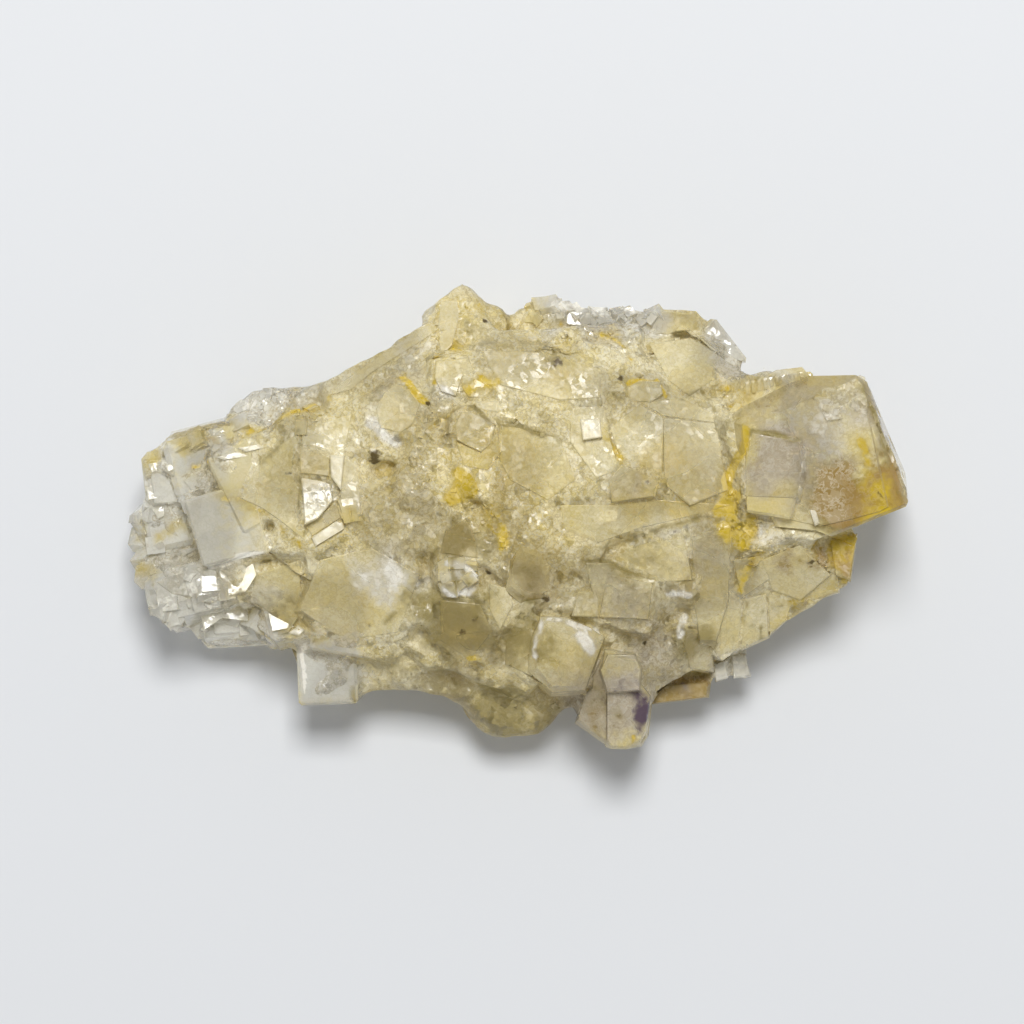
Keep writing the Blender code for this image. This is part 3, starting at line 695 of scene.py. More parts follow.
def column(corners):
    """Corners and faces of an upright prism over an outline that is given anticlockwise as seen."""
    ring = [plan(u, v, COLUMN_SEEN_AT).xy for u, v in corners]
    n = len(ring)
    points = [(*spot, level) for level in COLUMN for spot in ring]
    sides = [(i, (i + 1) % n, n + (i + 1) % n, n + i) for i in range(n)]
    return points, [tuple(range(n))[::-1], tuple(range(n, 2 * n)), *sides]


columns = bpy.data.meshes.new("columns")
points, faces = [], []
for corners in SHARP.values():
    more_points, more_faces = column(corners)
    faces += [tuple(index + len(points) for index in face) for face in more_faces]
    points += more_points
columns.from_pydata(points, [], faces)
edit(columns, face_outwards)
combine(grown, "INTERSECT", placed("columns", columns))
store(grown.data, "clean", np.ones(len(grown.data.polygons)))
grown.data.shade_flat()
combine(specimen, "UNION", grown)
print("with the sharp crystals:", len(specimen.data.polygons), "faces")

# %% Set the faces in the stone
for face in grown_faces:
    block(face, planes[face.name], fine)
combine(specimen, "UNION", fine)
print(len(grown_faces), "faces set, now", len(specimen.data.polygons), "faces in the mesh")

# %% [markdown]
# ## Small crystals
#
# Late in its growth the specimen was dusted with tiny cubes: sugar in the hollows, clear shards in the
# clear end, and a row of clear ones along the back edge. Each is a box with its own turn. They are sown at
# random, but only where such crystals grow: near a few places in the view, on faces that look up.

# %% Sow points on faces
TINY_AREA = 1e-18


def triangles(obj):
    """Corners (n, 3, 3), unit normals (n, 3), areas and cleanness of a mesh's triangles, as arrays."""
    mesh = obj.data
    mesh.calc_loop_triangles()
    picks = np.empty(len(mesh.loop_triangles) * 3, np.int32)
    mesh.loop_triangles.foreach_get("vertices", picks)
    polygons = np.empty(len(mesh.loop_triangles), np.int32)
    mesh.loop_triangles.foreach_get("polygon_index", polygons)
    cleanness = np.empty(len(mesh.polygons), np.float32)
    mesh.attributes["clean"].data.foreach_get("value", cleanness)
    faces = spots_of(mesh)[picks.reshape(-1, 3)]
    normals = np.cross(faces[:, 1] - faces[:, 0], faces[:, 2] - faces[:, 0])
    lengths = np.linalg.norm(normals, axis=1)
    return faces, normals / np.maximum(lengths, TINY_AREA)[:, None], lengths / 2, cleanness[polygons]


def sow(obj, count, weight, random):
    """Random points on obj, with the normal and one edge direction of the face under each: p = a + s(b - a) +
    t(c - a) in triangle abc. weight(places, normals, cleanness) says how readily crystals grow on a face."""
    faces, normals, areas, cleanness = triangles(obj)
    share = areas * weight(faces.mean(axis=1), normals, cleanness)
    chosen = random.choice(len(faces), count, p=share / share.sum())
    s, t = random.uniform(size=(2, count))
    over = s + t > 1
    s, t = np.where(over, 1 - s, s), np.where(over, 1 - t, t)
    a, b, c = faces[chosen].transpose(1, 0, 2)
    edge = b - a
    places = a + s[:, None] * edge + t[:, None] * (c - a)
    return places, normals[chosen], edge / np.linalg.norm(edge, axis=1)[:, None]


# %% Boxes for crystals, all at once
CUBE_CORNERS = np.array([[x, y, z] for x in (-0.5, 0.5) for y in (-0.5, 0.5) for z in (-0.5, 0.5)])
CUBE_FACES = np.array([(0, 1, 3, 2), (4, 6, 7, 5), (0, 4, 5, 1), (2, 3, 7, 6), (0, 2, 6, 4), (1, 5, 7, 3)])
UNEVEN = (0.7, 1.3)


def turned(axes, tilt, random):
    """Each row of axes (n, 3, 3) turned about a random direction by up to tilt: Rodrigues' formula,
    I + sin(angle) K + (1 - cos(angle)) K K, for all at once."""
    count = len(axes)
    about = random.normal(size=(count, 3))
    about /= np.linalg.norm(about, axis=1)[:, None]
    angle = random.uniform(-tilt, tilt, count)[:, None, None]
    k = np.zeros((count, 3, 3))
    k[:, 0, 1], k[:, 0, 2], k[:, 1, 2] = -about[:, 2], about[:, 1], -about[:, 0]
    k -= k.transpose(0, 2, 1)
    turn = np.eye(3) + np.sin(angle) * k + (1 - np.cos(angle)) * (k @ k)
    return axes @ turn.transpose(0, 2, 1)


def axes_on(normals, edges):
    """Three directions for each crystal, as rows: along a face's edge, across it, and out of the face."""
    along = edges - (edges * normals).sum(axis=1)[:, None] * normals
    along /= np.linalg.norm(along, axis=1)[:, None]
    return np.stack([along, np.cross(normals, along), normals], axis=1)


def boxes(name, middles, axes, sizes, collection, clean=0.0):
    """One closed box for each row: corner = middle + (corner of the unit cube x size) in the crystal's own
    axes."""
    corners = (CUBE_CORNERS[None] * sizes[:, None]) @ axes + middles[:, None]
    for number, box in enumerate(corners):
        mesh = bpy.data.meshes.new(f"{name}_{number}")
        mesh.from_pydata(box.tolist(), [], CUBE_FACES.tolist())
        store(mesh, "clean", [clean] * len(CUBE_FACES))
        collection.objects.link(bpy.data.objects.new(mesh.name, mesh))


def crust(name, count, weight, edge_range, sink_range, tilt, clean=0.0):
    """Sows count crystals with edges of edge_range mm. Each is sunk by a share of its edge, in sink_range,
    and tilted by up to tilt radians."""
    places, normals, edges = sow(specimen, count, weight, random)
    edge = random.uniform(*edge_range, count) * MM
    sizes = edge[:, None] * random.uniform(*UNEVEN, (count, 3))
    sunk = edge * random.uniform(*sink_range, count)
    axes = turned(axes_on(normals, edges), tilt, random)
    boxes(name, places - normals * sunk[:, None], axes, sizes, fine, clean)
    combine(specimen, "UNION", fine)
    print(name, "-", count, "crystals, now", len(specimen.data.polygons), "faces in the mesh")


# %% Grow them
SUGAR = [
    (480, 515, 5), (460, 500, 4), (505, 545, 4), (765, 535, 5), (745, 505, 4), (450, 655, 4), (675, 640, 4),
    (580, 335, 5), (620, 335, 4), (300, 415, 4), (270, 425, 4), (200, 480, 4), (385, 655, 4), (540, 420, 4),
    (430, 425, 4), (470, 395, 4), (640, 355, 4), (730, 390, 4), (560, 700, 3), (420, 470, 4), (700, 350, 4),
    (440, 340, 4), (600, 440, 3), (350, 530, 4), (830, 555, 4)
]
SHARDS = [
    (148, 540, 4), (215, 600, 5), (172, 608, 4), (235, 432, 3), (208, 445, 3), (300, 412, 3), (250, 402, 4),
    (140, 520, 3), (190, 490, 3), (150, 585, 3), (240, 628, 3), (350, 505, 2), (457, 577, 3)
]
BACK_EDGE = [
    (538, 312, 2), (552, 306, 2), (568, 306, 2), (584, 314, 2), (600, 316, 2), (614, 316, 2), (630, 308, 2),
    (642, 320, 2), (655, 318, 2)
]


def near(rows, cleanest=0.5):
    """A weight that is 1 at places of the view and falls to 0 at their radius in mm, on upper faces less
    clean than cleanest."""
    middles = np.array([sight(tree, u, v) or plan(u, v) for u, v, radius in rows])
    radii = np.array([radius for u, v, radius in rows]) * MM

    def weight(places, normals, cleanness):
        away = np.linalg.norm(places[:, None] - middles[None], axis=2) / radii
        return smooth(1 - away).max(axis=1) * (normals[:, 2] > UPPER_NORMAL) * (cleanness < cleanest)
    return weight


tree = skin(specimen)
crust("sugar", 800, near(SUGAR), edge_range=(0.25, 0.6), sink_range=(0.25, 0.42), tilt=0.6)
crust("shards", 110, near(SHARDS, 1.1), edge_range=(0.6, 2.0), sink_range=(0.36, 0.49), tilt=0.5, clean=1.0)
crust("back_edge", 46, near(BACK_EDGE), edge_range=(0.8, 1.9), sink_range=(0.1, 0.3), tilt=0.5, clean=1.0)

# %% [markdown]
# ## The broken back
#
# The specimen was broken off its vein. Fluorite splits along flat planes, so the back is a patchwork of
# small flat steps, and only some of them touch the table. The light that gets under them comes up through
# the clear stone. Tilted boxes below the resting plane cut these steps.

# %% Break the back
BACK_CUTS = 260
BACK_SIZE = (3.0, 9.0)
BACK_BITE = (0.15, 1.5)
BACK_TILT = 0.22
BACK_TALL = 8.0
BACK_CLEAN = 0.5
SPREAD = np.array([46.0, 27.0]) * MM

middles = np.column_stack([random.uniform(-1, 1, (BACK_CUTS, 2)) * SPREAD, np.zeros(BACK_CUTS)])
middles[:, 2] = (random.uniform(*BACK_BITE, BACK_CUTS) - BACK_TALL / 2) * MM
sizes = np.column_stack([random.uniform(*BACK_SIZE, (BACK_CUTS, 2)), np.full(BACK_CUTS, BACK_TALL)]) * MM
turn = random.uniform(0, math.pi, BACK_CUTS)
straight = np.zeros((BACK_CUTS, 3, 3))
straight[:, 0, 0], straight[:, 0, 1] = np.cos(turn), np.sin(turn)
straight[:, 1, 0], straight[:, 1, 1] = -np.sin(turn), np.cos(turn)
straight[:, 2, 2] = 1
boxes("back", middles, turned(straight, BACK_TILT, random), sizes, fine, BACK_CLEAN)
combine(specimen, "DIFFERENCE", fine)
print("back broken, now", len(specimen.data.polygons), "faces in the mesh")

# %% [markdown]
# ## Veils
#
# Cloudy fluorite is full of small cracks that healed with air in them. Each is a thin flat gap inside the
# crystal, and it mirrors light like a tiny window. They are cut as thin plates well below the surface.

# %% Cut the veils
VEILS = 260
VEIL_SIZE = (0.8, 3.4)
VEIL_THICK = 0.03
VEIL_TILT = 0.9
VEIL_LOWEST, VEIL_COVER = 3 * MM, 2 * MM
STONE_TALL = 8 * MM
ABOVE = 0.1

tree = skin(specimen)
places = []
while len(places) < VEILS:
    x, y = random.uniform(-1, 1, 2) * SPREAD
    top = tree.ray_cast(Vector((x, y, ABOVE)), Vector((0, 0, -1)))[0]
    if top is not None and top.z > STONE_TALL:
        places.append((x, y, random.uniform(VEIL_LOWEST, top.z - VEIL_COVER)))
sizes = np.column_stack([random.uniform(*VEIL_SIZE, (VEILS, 2)), np.full(VEILS, VEIL_THICK)]) * MM
level = np.broadcast_to(np.eye(3), (VEILS, 3, 3))
boxes("veil", np.array(places), turned(level, VEIL_TILT, random), sizes, fine, clean=1.0)
combine(specimen, "DIFFERENCE", fine)
print("veils cut, now", len(specimen.data.polygons), "faces in the mesh")

# %% [markdown]
# ## Trim to size
#
# The solid's box is the specimen's true size. Whatever small crystal crosses it is cut off flat, as a
# crystal is that was broken in handling.

# %% Trim to the solid's box
low, high = np.array(cad_low), np.array(cad_high)
boxes("trim", ((low + high) / 2)[None], np.eye(3)[None], (high - low)[None], fine)
combine(specimen, "INTERSECT", fine.objects[0])
print("trimmed to", ((high - low) / MM).round(1), "mm")

# %% [markdown]
# ## Fine enough to carry colour
#
# The colours below are worked out at the mesh's corners, and a large flat face has corners only at its rim.
# So edges on the upper side are halved until none is long.

# %% Halve the long edges
LONGEST = 1.0 * MM
ROUNDS = 4
LOOKS_UP = 0.2


def is_long(edge):
    """Whether an edge on the upper side is longer than colour can be carried over."""
    up = max((face.normal.z for face in edge.link_faces), default=0)
    return up > LOOKS_UP and edge.verts[0].co.z > UPPER_FROM and edge.calc_length() > LONGEST


def halve_long_edges(bm):
    for _ in range(ROUNDS):
        bmesh.ops.subdivide_edges(bm, edges=[edge for edge in bm.edges if is_long(edge)], cuts=1)
        bmesh.ops.triangulate(bm, faces=[face for face in bm.faces if len(face.verts) > 3])


edit(specimen.data, halve_long_edges)
print("fine mesh:", len(specimen.data.polygons), "triangles")

# %% [markdown]
# ## Where each colour lies
#
# The specimen is one stone, but its colour, clearness and gloss change from place to place. Each kind of
# colour is a value at the mesh's corners, and it shows fully from about 0.75 on. Round a place in the view
# it falls off evenly with distance: value = strength x (1 - distance / radius). A seam is the same, with
# the distance taken to a line. Places move a little at random first, so that no outline comes out round.
# Clearness, lavender and straw go right through the stone, so for their places the distance is measured
# level, without the height. Stains lie on the surface only.

# %% Places of colour, in the view
# Each place is (u, v, radius in mm, strength).
SPOTS = {
    "clear": [
        (150, 530, 9, 1.6), (200, 435, 7, 1.3), (185, 600, 10, 1.6), (255, 395, 6, 1.5), (240, 620, 7, 1.4),
        (325, 675, 7, 1.3), (600, 312, 6, 1.5), (560, 305, 5, 1.4), (728, 348, 5, 1.2), (735, 670, 4, 1.2),
        (328, 495, 5, 0.5), (455, 575, 3, 0.7), (225, 530, 7, 0.7), (775, 385, 4, 0.7), (150, 455, 6, 1.2),
        (185, 515, 8, 1.3), (148, 585, 7, 1.5), (640, 315, 4, 1.2), (200, 560, 8, 1.2)
    ],
    "lavender": [
        (815, 435, 11, 0.55), (772, 462, 7, 1.3), (882, 430, 4, 1.0), (640, 480, 4, 0.7),
        (612, 700, 8, 1.0), (525, 570, 5, 0.6), (622, 600, 7, 0.45), (580, 480, 4, 0.3), (870, 410, 6, 0.7),
        (560, 705, 5, 0.6), (528, 575, 5, 0.7), (655, 650, 8, 0.6), (595, 705, 7, 0.9), (700, 560, 6, 0.4),
        (430, 590, 5, 0.4)
    ],
    "violet": [
        (643, 708, 3.2, 1.5), (636, 690, 3, 0.6), (687, 690, 1.2, 0.8), (597, 700, 3, 0.4)
    ],
    "straw": [
        (480, 470, 15, 0.9), (530, 520, 12, 0.9), (670, 480, 6, 1.6), (400, 480, 10, 0.7),
        (520, 330, 10, 0.6), (460, 318, 6, 1.1), (690, 320, 5, 0.5), (500, 712, 9, 1.2), (460, 540, 4, 0.8),
        (540, 650, 4, 0.7), (672, 480, 6, 1.0), (560, 365, 6, 0.8), (180, 440, 3, 0.9), (205, 431, 3, 0.9),
        (228, 428, 2, 0.8), (147, 456, 2.5, 0.9), (143, 575, 2.5, 0.8), (172, 530, 2, 0.7),
        (140, 540, 2.5, 0.5), (215, 470, 5, 0.4), (240, 590, 5, 0.5), (868, 492, 4.5, 1.2),
        (700, 430, 6, 0.3), (735, 505, 5, 0.9), (640, 505, 5, 0.7), (290, 500, 6, 0.4), (560, 660, 4, 0.7),
        (760, 520, 6, 0.8), (345, 540, 7, 0.6), (745, 412, 2.4, 0.9), (772, 392, 2.2, 0.9),
        (806, 380, 1.8, 0.9), (840, 377, 1.6, 0.8)
    ],
    "amber": [
        (463, 492, 2.6, 1.6), (500, 542, 2.4, 1.2), (490, 520, 3.5, 0.8), (475, 667, 1.5, 1.3),
        (478, 385, 2.6, 1.1), (455, 348, 2.6, 0.9), (728, 500, 2.6, 1.4), (742, 528, 3.4, 1.0),
        (874, 494, 4.4, 1.6), (868, 515, 3.2, 1.2), (840, 555, 3, 1.2), (815, 550, 3.5, 0.8),
        (745, 575, 4, 0.7), (800, 605, 3, 0.8), (855, 540, 2.4, 1.2), (735, 395, 3, 0.7),
        (600, 335, 4, 0.6), (470, 300, 2, 0.6), (280, 418, 3, 0.7), (320, 410, 3, 0.5), (662, 697, 2, 0.6),
        (600, 735, 2.4, 0.6), (640, 735, 1.0, 1.3), (205, 467, 1.2, 1.0), (225, 490, 2, 0.5),
        (270, 515, 2, 0.5), (555, 390, 2, 0.3), (660, 445, 1.5, 0.3), (345, 520, 3, 0.4)
    ],
    "rust": [
        (840, 488, 5.0, 1.4), (838, 508, 3.8, 1.4), (888, 480, 4.5, 0.7), (882, 455, 3, 0.5),
        (855, 514, 4, 0.8), (785, 560, 3, 0.7), (820, 555, 2.5, 1.0), (680, 697, 4, 1.3),
        (702, 692, 3.5, 1.1), (600, 722, 4, 0.5), (895, 440, 3, 0.7), (900, 492, 3, 0.9),
        (846, 566, 2.2, 0.8), (832, 560, 2, 0.8), (795, 392, 2.5, 0.5), (765, 405, 2.5, 0.5)
    ],
    "smoke": [
        (458, 540, 3.4, 1.2), (525, 575, 4.5, 0.65), (465, 620, 6, 1.3), (440, 640, 5, 1.0),
        (530, 600, 3, 0.9), (500, 715, 9, 1.0), (540, 650, 4, 0.8), (700, 640, 5, 0.9), (690, 600, 4, 0.6),
        (640, 560, 9, 0.55), (462, 320, 5, 0.6), (560, 365, 5, 0.45), (470, 545, 3, 1.0),
        (465, 590, 4, 0.8), (442, 610, 4, 1.0), (455, 636, 3, 1.3), (516, 592, 2, 1.0), (600, 705, 4, 0.7),
        (350, 698, 2, 1.1), (500, 725, 6, 0.9), (557, 362, 2.5, 0.9), (460, 548, 3, 1.4),
        (285, 478, 4, 0.3), (595, 690, 4, 0.6), (430, 600, 6, 0.8), (400, 670, 6, 0.6), (280, 610, 5, 0.6),
        (545, 725, 6, 0.9), (520, 640, 6, 0.9), (690, 685, 4, 0.9), (450, 680, 7, 0.7), (700, 530, 5, 0.4)
    ],
    # White places: milky stone in some. In others they are painted light: white glints on the great cube's
    # top and painted brightness in the clear end and the clear crystals along the back edge.
    "cloud_and_glint": [
        (385, 575, 5.0, 1.05), (388, 578, 2.8, 1.45), (803, 424, 4, 0.45), (762, 522, 3.5, 0.7),
        (778, 538, 3, 0.6), (822, 424, 7, 0.52), (762, 528, 3, 0.9), (830, 404, 1.8, 0.8),
        (745, 520, 3, 0.6), (190, 580, 5, 0.6), (150, 540, 4, 0.5), (215, 600, 4, 0.6), (175, 600, 4, 0.6),
        (160, 490, 3, 0.5), (600, 314, 3, 0.9), (560, 310, 3, 0.9), (635, 314, 3, 0.8), (580, 307, 3, 0.9),
        (590, 428, 1.6, 0.6), (300, 395, 3, 0.6), (250, 402, 4, 0.8), (280, 394, 3, 0.7),
        (405, 500, 7, 0.35), (415, 350, 4, 0.4), (340, 370, 4, 0.5), (680, 326, 2.5, 0.5),
        (650, 525, 4, 0.3), (435, 395, 3, 0.4)
    ],
}

# %% Seams of colour, in the view
# Each seam is (its bends, about half its width in mm, strength). Stained cracks have a straw glow beside
# them.
WEST_CRACK = [(402, 378), (412, 387), (427, 400)]
CUBE_CRACK = [(746, 430), (742, 455), (732, 470), (728, 485), (735, 500), (732, 530), (745, 548)]
CUBE_EDGE = [(862, 440), (868, 460), (880, 490), (892, 515)]
ROOF_CRACK = [(606, 430), (613, 447), (620, 462)]
NORTH_WEST_CRACK = [(250, 432), (290, 415), (330, 400)]
RIB_STEPS = range(728, 796, 9)
SEAMS = {
    "amber": [
        (WEST_CRACK, 0.39, 1.6),
        (CUBE_CRACK, 0.5, 1.4),
        (CUBE_EDGE, 0.44, 1.2),
        ([(627, 384), (655, 378), (664, 396)], 0.28, 1.3),
        (ROOF_CRACK, 0.33, 1.0),
        ([(855, 535), (848, 560), (845, 582)], 0.50, 1.2),
        ([(760, 552), (740, 590)], 0.50, 0.8),
        ([(655, 697), (680, 695)], 0.44, 0.9),
        (NORTH_WEST_CRACK, 0.5, 0.9),
        ([(437, 358), (434, 385)], 0.33, 0.9),
        ([(560, 325), (600, 332), (622, 345), (632, 360)], 0.39, 0.8),
        ([(222, 497), (262, 510), (280, 525), (305, 550)], 0.39, 0.7),
        ([(430, 430), (445, 418), (455, 408)], 0.33, 0.7)
    ],
    "straw": [
        (CUBE_CRACK, 1.6, 1.0),
        (CUBE_EDGE, 1.5, 0.9),
        ([(855, 535), (848, 560), (845, 582), (800, 606), (778, 624)], 1.1, 0.9),
        (WEST_CRACK, 0.9, 0.8),
        (ROOF_CRACK, 0.8, 0.7),
        (NORTH_WEST_CRACK, 1.2, 0.8)
    ],
    "rust": [
        ([(882, 425), (891, 460), (900, 492)], 0.8, 0.75),
        ([(851, 552), (846, 578), (806, 604)], 0.4, 0.6)
    ],
    "smoke": [
        ([(600, 548), (640, 534), (690, 520), (735, 512)], 0.35, 0.8),
        ([(470, 408), (500, 424), (530, 430), (560, 440)], 0.35, 1.0),
        ([(438, 548), (420, 575), (385, 622)], 0.4, 0.8),
        ([(585, 560), (612, 562), (654, 580), (656, 596)], 0.35, 0.9),
        ([(752, 432), (800, 441)], 0.35, 1.2),
        ([(300, 445), (299, 500), (306, 535)], 0.3, 0.8),
        ([(186, 505), (209, 567)], 0.3, 0.7),
        ([(664, 384), (682, 400), (700, 390), (718, 412)], 0.35, 0.7),
        ([(728, 424), (745, 413), (772, 394), (806, 379)], 0.8, 0.5),
        ([(864, 386), (880, 430), (898, 495)], 0.8, 0.8),
        ([(898, 500), (860, 522), (815, 528)], 0.6, 0.7),
        ([(258, 462), (298, 432)], 0.4, 0.7),
        ([(450, 568), (458, 586)], 0.25, 1.3),
        ([(463, 570), (469, 582)], 0.25, 1.2)
    ] + [([(u, 600), (u - 3, 638)], 0.22, 0.75) for u in RIB_STEPS],
    # Painted highlights: white lines where crystal edges and rims glint, on the clear cube, the sparkly
    # quartz, the glass corner and the right front.
    "cloud_and_glint": [
        ([(606, 552), (640, 541), (690, 528), (732, 518)], 0.3, 0.45),
        ([(544, 619), (570, 624), (598, 633)], 0.3, 1.4),
        ([(541, 621), (534, 655)], 0.3, 1.3),
        ([(580, 636), (590, 650)], 0.6, 1.5),
        ([(209, 567), (262, 553)], 0.4, 1.2),
        ([(370, 423), (382, 434), (394, 440)], 0.6, 1.3),
        ([(440, 390), (448, 398)], 0.4, 1.3),
        ([(440, 588), (452, 597), (470, 587)], 0.35, 1.4),
        ([(446, 562), (462, 565), (476, 575)], 0.3, 1.3),
        ([(670, 592), (688, 596)], 0.4, 1.3),
        ([(685, 615), (680, 636)], 0.4, 1.2),
        ([(735, 660), (738, 678)], 0.4, 1.2),
        ([(303, 652), (303, 690)], 0.3, 1.1)
    ],
}

# %% Dark specks
# Each speck is (u, v, radius in mm).
SPECKS = [
    (374, 459, 1.15), (557, 362, 0.55), (485, 321, 0.35), (620, 378, 0.35), (649, 482, 0.3),
    (645, 643, 0.2), (545, 599, 0.6), (428, 404, 0.25), (812, 562, 0.4), (843, 507, 0.3), (489, 573, 0.3),
    (289, 473, 0.25), (880, 495, 0.25), (462, 632, 0.4)
]

# %% Distances to places and seams
STRAY, STRAY_ACROSS = 0.9 * MM, 2.2 * MM
SEAM_STRAY = 0.25
THROUGH = ("clear", "lavender", "straw")
BESIDE_STONE = 8 * MM

spots = spots_of(specimen.data)
tree = skin(specimen)
stray = np.column_stack([ripple(spots, STRAY_ACROSS, random) for _ in range(3)]) * STRAY
near_spots = spots + stray
seam_spots = near_spots * SEAM_STRAY + spots * (1 - SEAM_STRAY)


def found(u, v):
    """The spot on the stone that shows at (u, v)."""
    return np.array(sight(tree, u, v) or plan(u, v, BESIDE_STONE))


def away_from_line(points, start, end):
    """Each point's distance to the stretch from start to end: |p - start - t (end - start)|, where t is how
    far along the stretch the point lies, held between 0 and 1."""
    way = end - start
    share = np.clip((points - start) @ way / (way @ way), 0, 1)
    return np.linalg.norm(points - start - share[:, None] * way, axis=1)


# %% Work the colours out at every corner
for name, rows in SPOTS.items():
    value = np.zeros(len(spots))
    measured = np.array([1, 1, 0 if name in THROUGH else 1])
    for u, v, radius, strength in rows:
        away = np.linalg.norm((near_spots - found(u, v)) * measured, axis=1) / (radius * MM)
        value = np.maximum(value, strength * (1 - away))
    for bends, width, strength in SEAMS.get(name, []):
        bends = [found(u, v) for u, v in bends]
        for start, end in zip(bends, bends[1:]):
            away = away_from_line(seam_spots, start, end) / (2 * width * MM)
            value = np.maximum(value, strength * (1 - away))
    store(specimen.data, name, value, "POINT")
    print(name, "shows at", round(float((value > 0.3).mean()) * 100, 1), "% of the corners")

# %% Specks, iron in the hollows, warmth and haze
SPECK_EDGE = 0.25 * MM
SPECK_HEART, SPECK_FALL = 1.25, 1.2
IRON_FROM, IRON_OVER, IRON_SHARE = 0.15, 0.75, 0.45

dark = np.zeros(len(spots))
for u, v, radius in SPECKS:
    away = np.linalg.norm(spots - found(u, v), axis=1) / (radius * MM + SPECK_EDGE)
    dark = np.maximum(dark, SPECK_HEART - SPECK_FALL * away)


def patches(across_mm, contrast):
    """Soft random patches between 0 and 1, about across_mm wide."""
    return smooth(0.5 + contrast * ripple(spots, across_mm * MM, random))


depth = np.empty(len(spots), np.float32)
specimen.data.attributes["hollow"].data.foreach_get("value", depth)
store(specimen.data, "dark", dark, "POINT")
store(specimen.data, "iron", smooth((depth - IRON_FROM) / IRON_OVER) * patches(5, 0.8) * IRON_SHARE, "POINT")
store(specimen.data, "warm", patches(3.5, 0.8), "POINT")
store(specimen.data, "haze", patches(6, 0.7), "POINT")
print("specks, iron, warmth and haze kept at", len(spots), "corners")

# %% [markdown]
# ## The stone itself
#
# Fluorite bends light less than glass does: its index is 1.434. Clear stone passes nearly all of the light
# that gets in. Cloudy stone scatters a share back, and iron stain hardly lets any through. The colour tints
# what passes and what comes back, and the absorption inside makes thick places deeper in colour than thin
# ones.

# %% A small kit for shader nodes
stone = bpy.data.materials.new("fluorite")
stone.use_nodes = True
nodes, links = stone.node_tree.nodes, stone.node_tree.links
shader = nodes["Principled BSDF"]


def node(kind, sockets=(), **settings):
    """Adds a node, sets its properties, and sets or links each input that sockets names by number or name."""
    made = nodes.new("ShaderNode" + kind)
    for key, value in settings.items():
        setattr(made, key, value)
    for key, value in dict(sockets).items():
        if isinstance(value, bpy.types.NodeSocket):
            links.new(value, made.inputs[key])
        else:
            made.inputs[key].default_value = value
    return made


def maths(operation, *values, clamp=False):
    """One step of arithmetic on numbers or sockets."""
    return node("Math", enumerate(values), operation=operation, use_clamp=clamp).outputs[0]


def less(value, by, share):
    """value x (1 - by x share)."""
    return maths("MULTIPLY", value, maths("SUBTRACT", 1.0, maths("MULTIPLY", by, share)))


def highest(first, *others):
    for other in others:
        first = maths("MAXIMUM", first, other)
    return first


def vectors(operation, first, *others, **scale):
    return node("VectorMath", {**dict(enumerate((first, *others))), **scale}, operation=operation).outputs[0]


def blend(share, under, over):
    """under and over mixed: over where share is 1. Either may be a colour or a socket."""
    return node("Mix", {0: share, 6: under, 7: over}, data_type="RGBA").outputs[2]


def ramp(value, low, high, out_low=0.0, out_high=1.0):
    """value carried smoothly from the range low..high to out_low..out_high."""
    made = node("MapRange", enumerate((value, low, high, out_low, out_high)), interpolation_type="SMOOTHSTEP")
    return made.outputs[0]


def noise(across_mm, detail=3.0):
    """Fractal noise whose lumps are about across_mm wide."""
    return node("TexNoise", {"Vector": place, "Scale": 1 / (across_mm * MM), "Detail": detail}).outputs["Fac"]


def value_of(name):
    """A value that the mesh carries."""
    return node("Attribute", attribute_name=name).outputs["Fac"]


place = node("TexCoord").outputs["Object"]
grain, mottle = noise(0.8), noise(1.1, 4.0)
clean = value_of("clean")
rough = less(1.0, clean, 0.7)
print("kit tried out on", len(nodes), "nodes")

# %% Lay the colours over each other
FRAY = 0.7
SHOWS_FROM, SHOWS_FULLY = 0.1, 0.75
BASE = (0.94, 0.85, 0.52, 1)
BASE_DEEP = (0.91, 0.78, 0.36, 1)
# The white tint is milky stone in some places and a painted highlight in others, where facets and rims glint.
TINTS = [("clear", (0.99, 0.985, 0.92)), ("lavender", (0.64, 0.57, 0.47)), ("straw", (0.92, 0.76, 0.28)),
         ("smoke", (0.38, 0.31, 0.11)), ("cloud_and_glint", (0.96, 0.94, 0.86)), ("amber", (0.58, 0.41, 0.015)),
         ("rust", (0.32, 0.20, 0.05)), ("violet", (0.08, 0.05, 0.11))]
IRON = (0.60, 0.44, 0.10, 1)

frayed = maths("MULTIPLY", maths("SUBTRACT", grain, 0.5), FRAY)
colour = blend(value_of("warm"), BASE, BASE_DEEP)
shares = {}
for name, tint in TINTS:
    shares[name] = ramp(maths("ADD", value_of(name), frayed), SHOWS_FROM, SHOWS_FULLY)
    colour = blend(shares[name], colour, (*tint, 1))
stained_seam = maths("MULTIPLY", value_of("seam"), ramp(mottle, 0.35, 0.6, 0.0, 0.45))
colour = blend(highest(value_of("iron"), stained_seam), colour, IRON)
print("laid over each other:", ", ".join(shares), "and iron")

# %% [markdown]
# ## Grains and fine lines
#
# Grown-together stone is full of tiny edges, pale where they catch light and brown where they hide it. Two
# sizes of wavy cells stand for the grains, and thin contour lines of two noises for the edges. Grown faces
# are cleaner, so they show less of both. Then come the faces' own tones, lighter or browner, with a painted
# highlight on the faces that mirror the lamp and on most bevels, and the dark specks.

# %% Grains, fine lines, tone and specks
WARP = 1.3 * MM
WARP_WAY = (1.0, -0.7, 0.5)
GRAIN_COARSE, GRAIN_FINE = 1.4, 0.5
PALE, BROWN = (1.0, 0.96, 0.80, 1), (0.38, 0.29, 0.11, 1)
TONE_SHARE = 0.6
DARK = (0.10, 0.07, 0.02, 1)


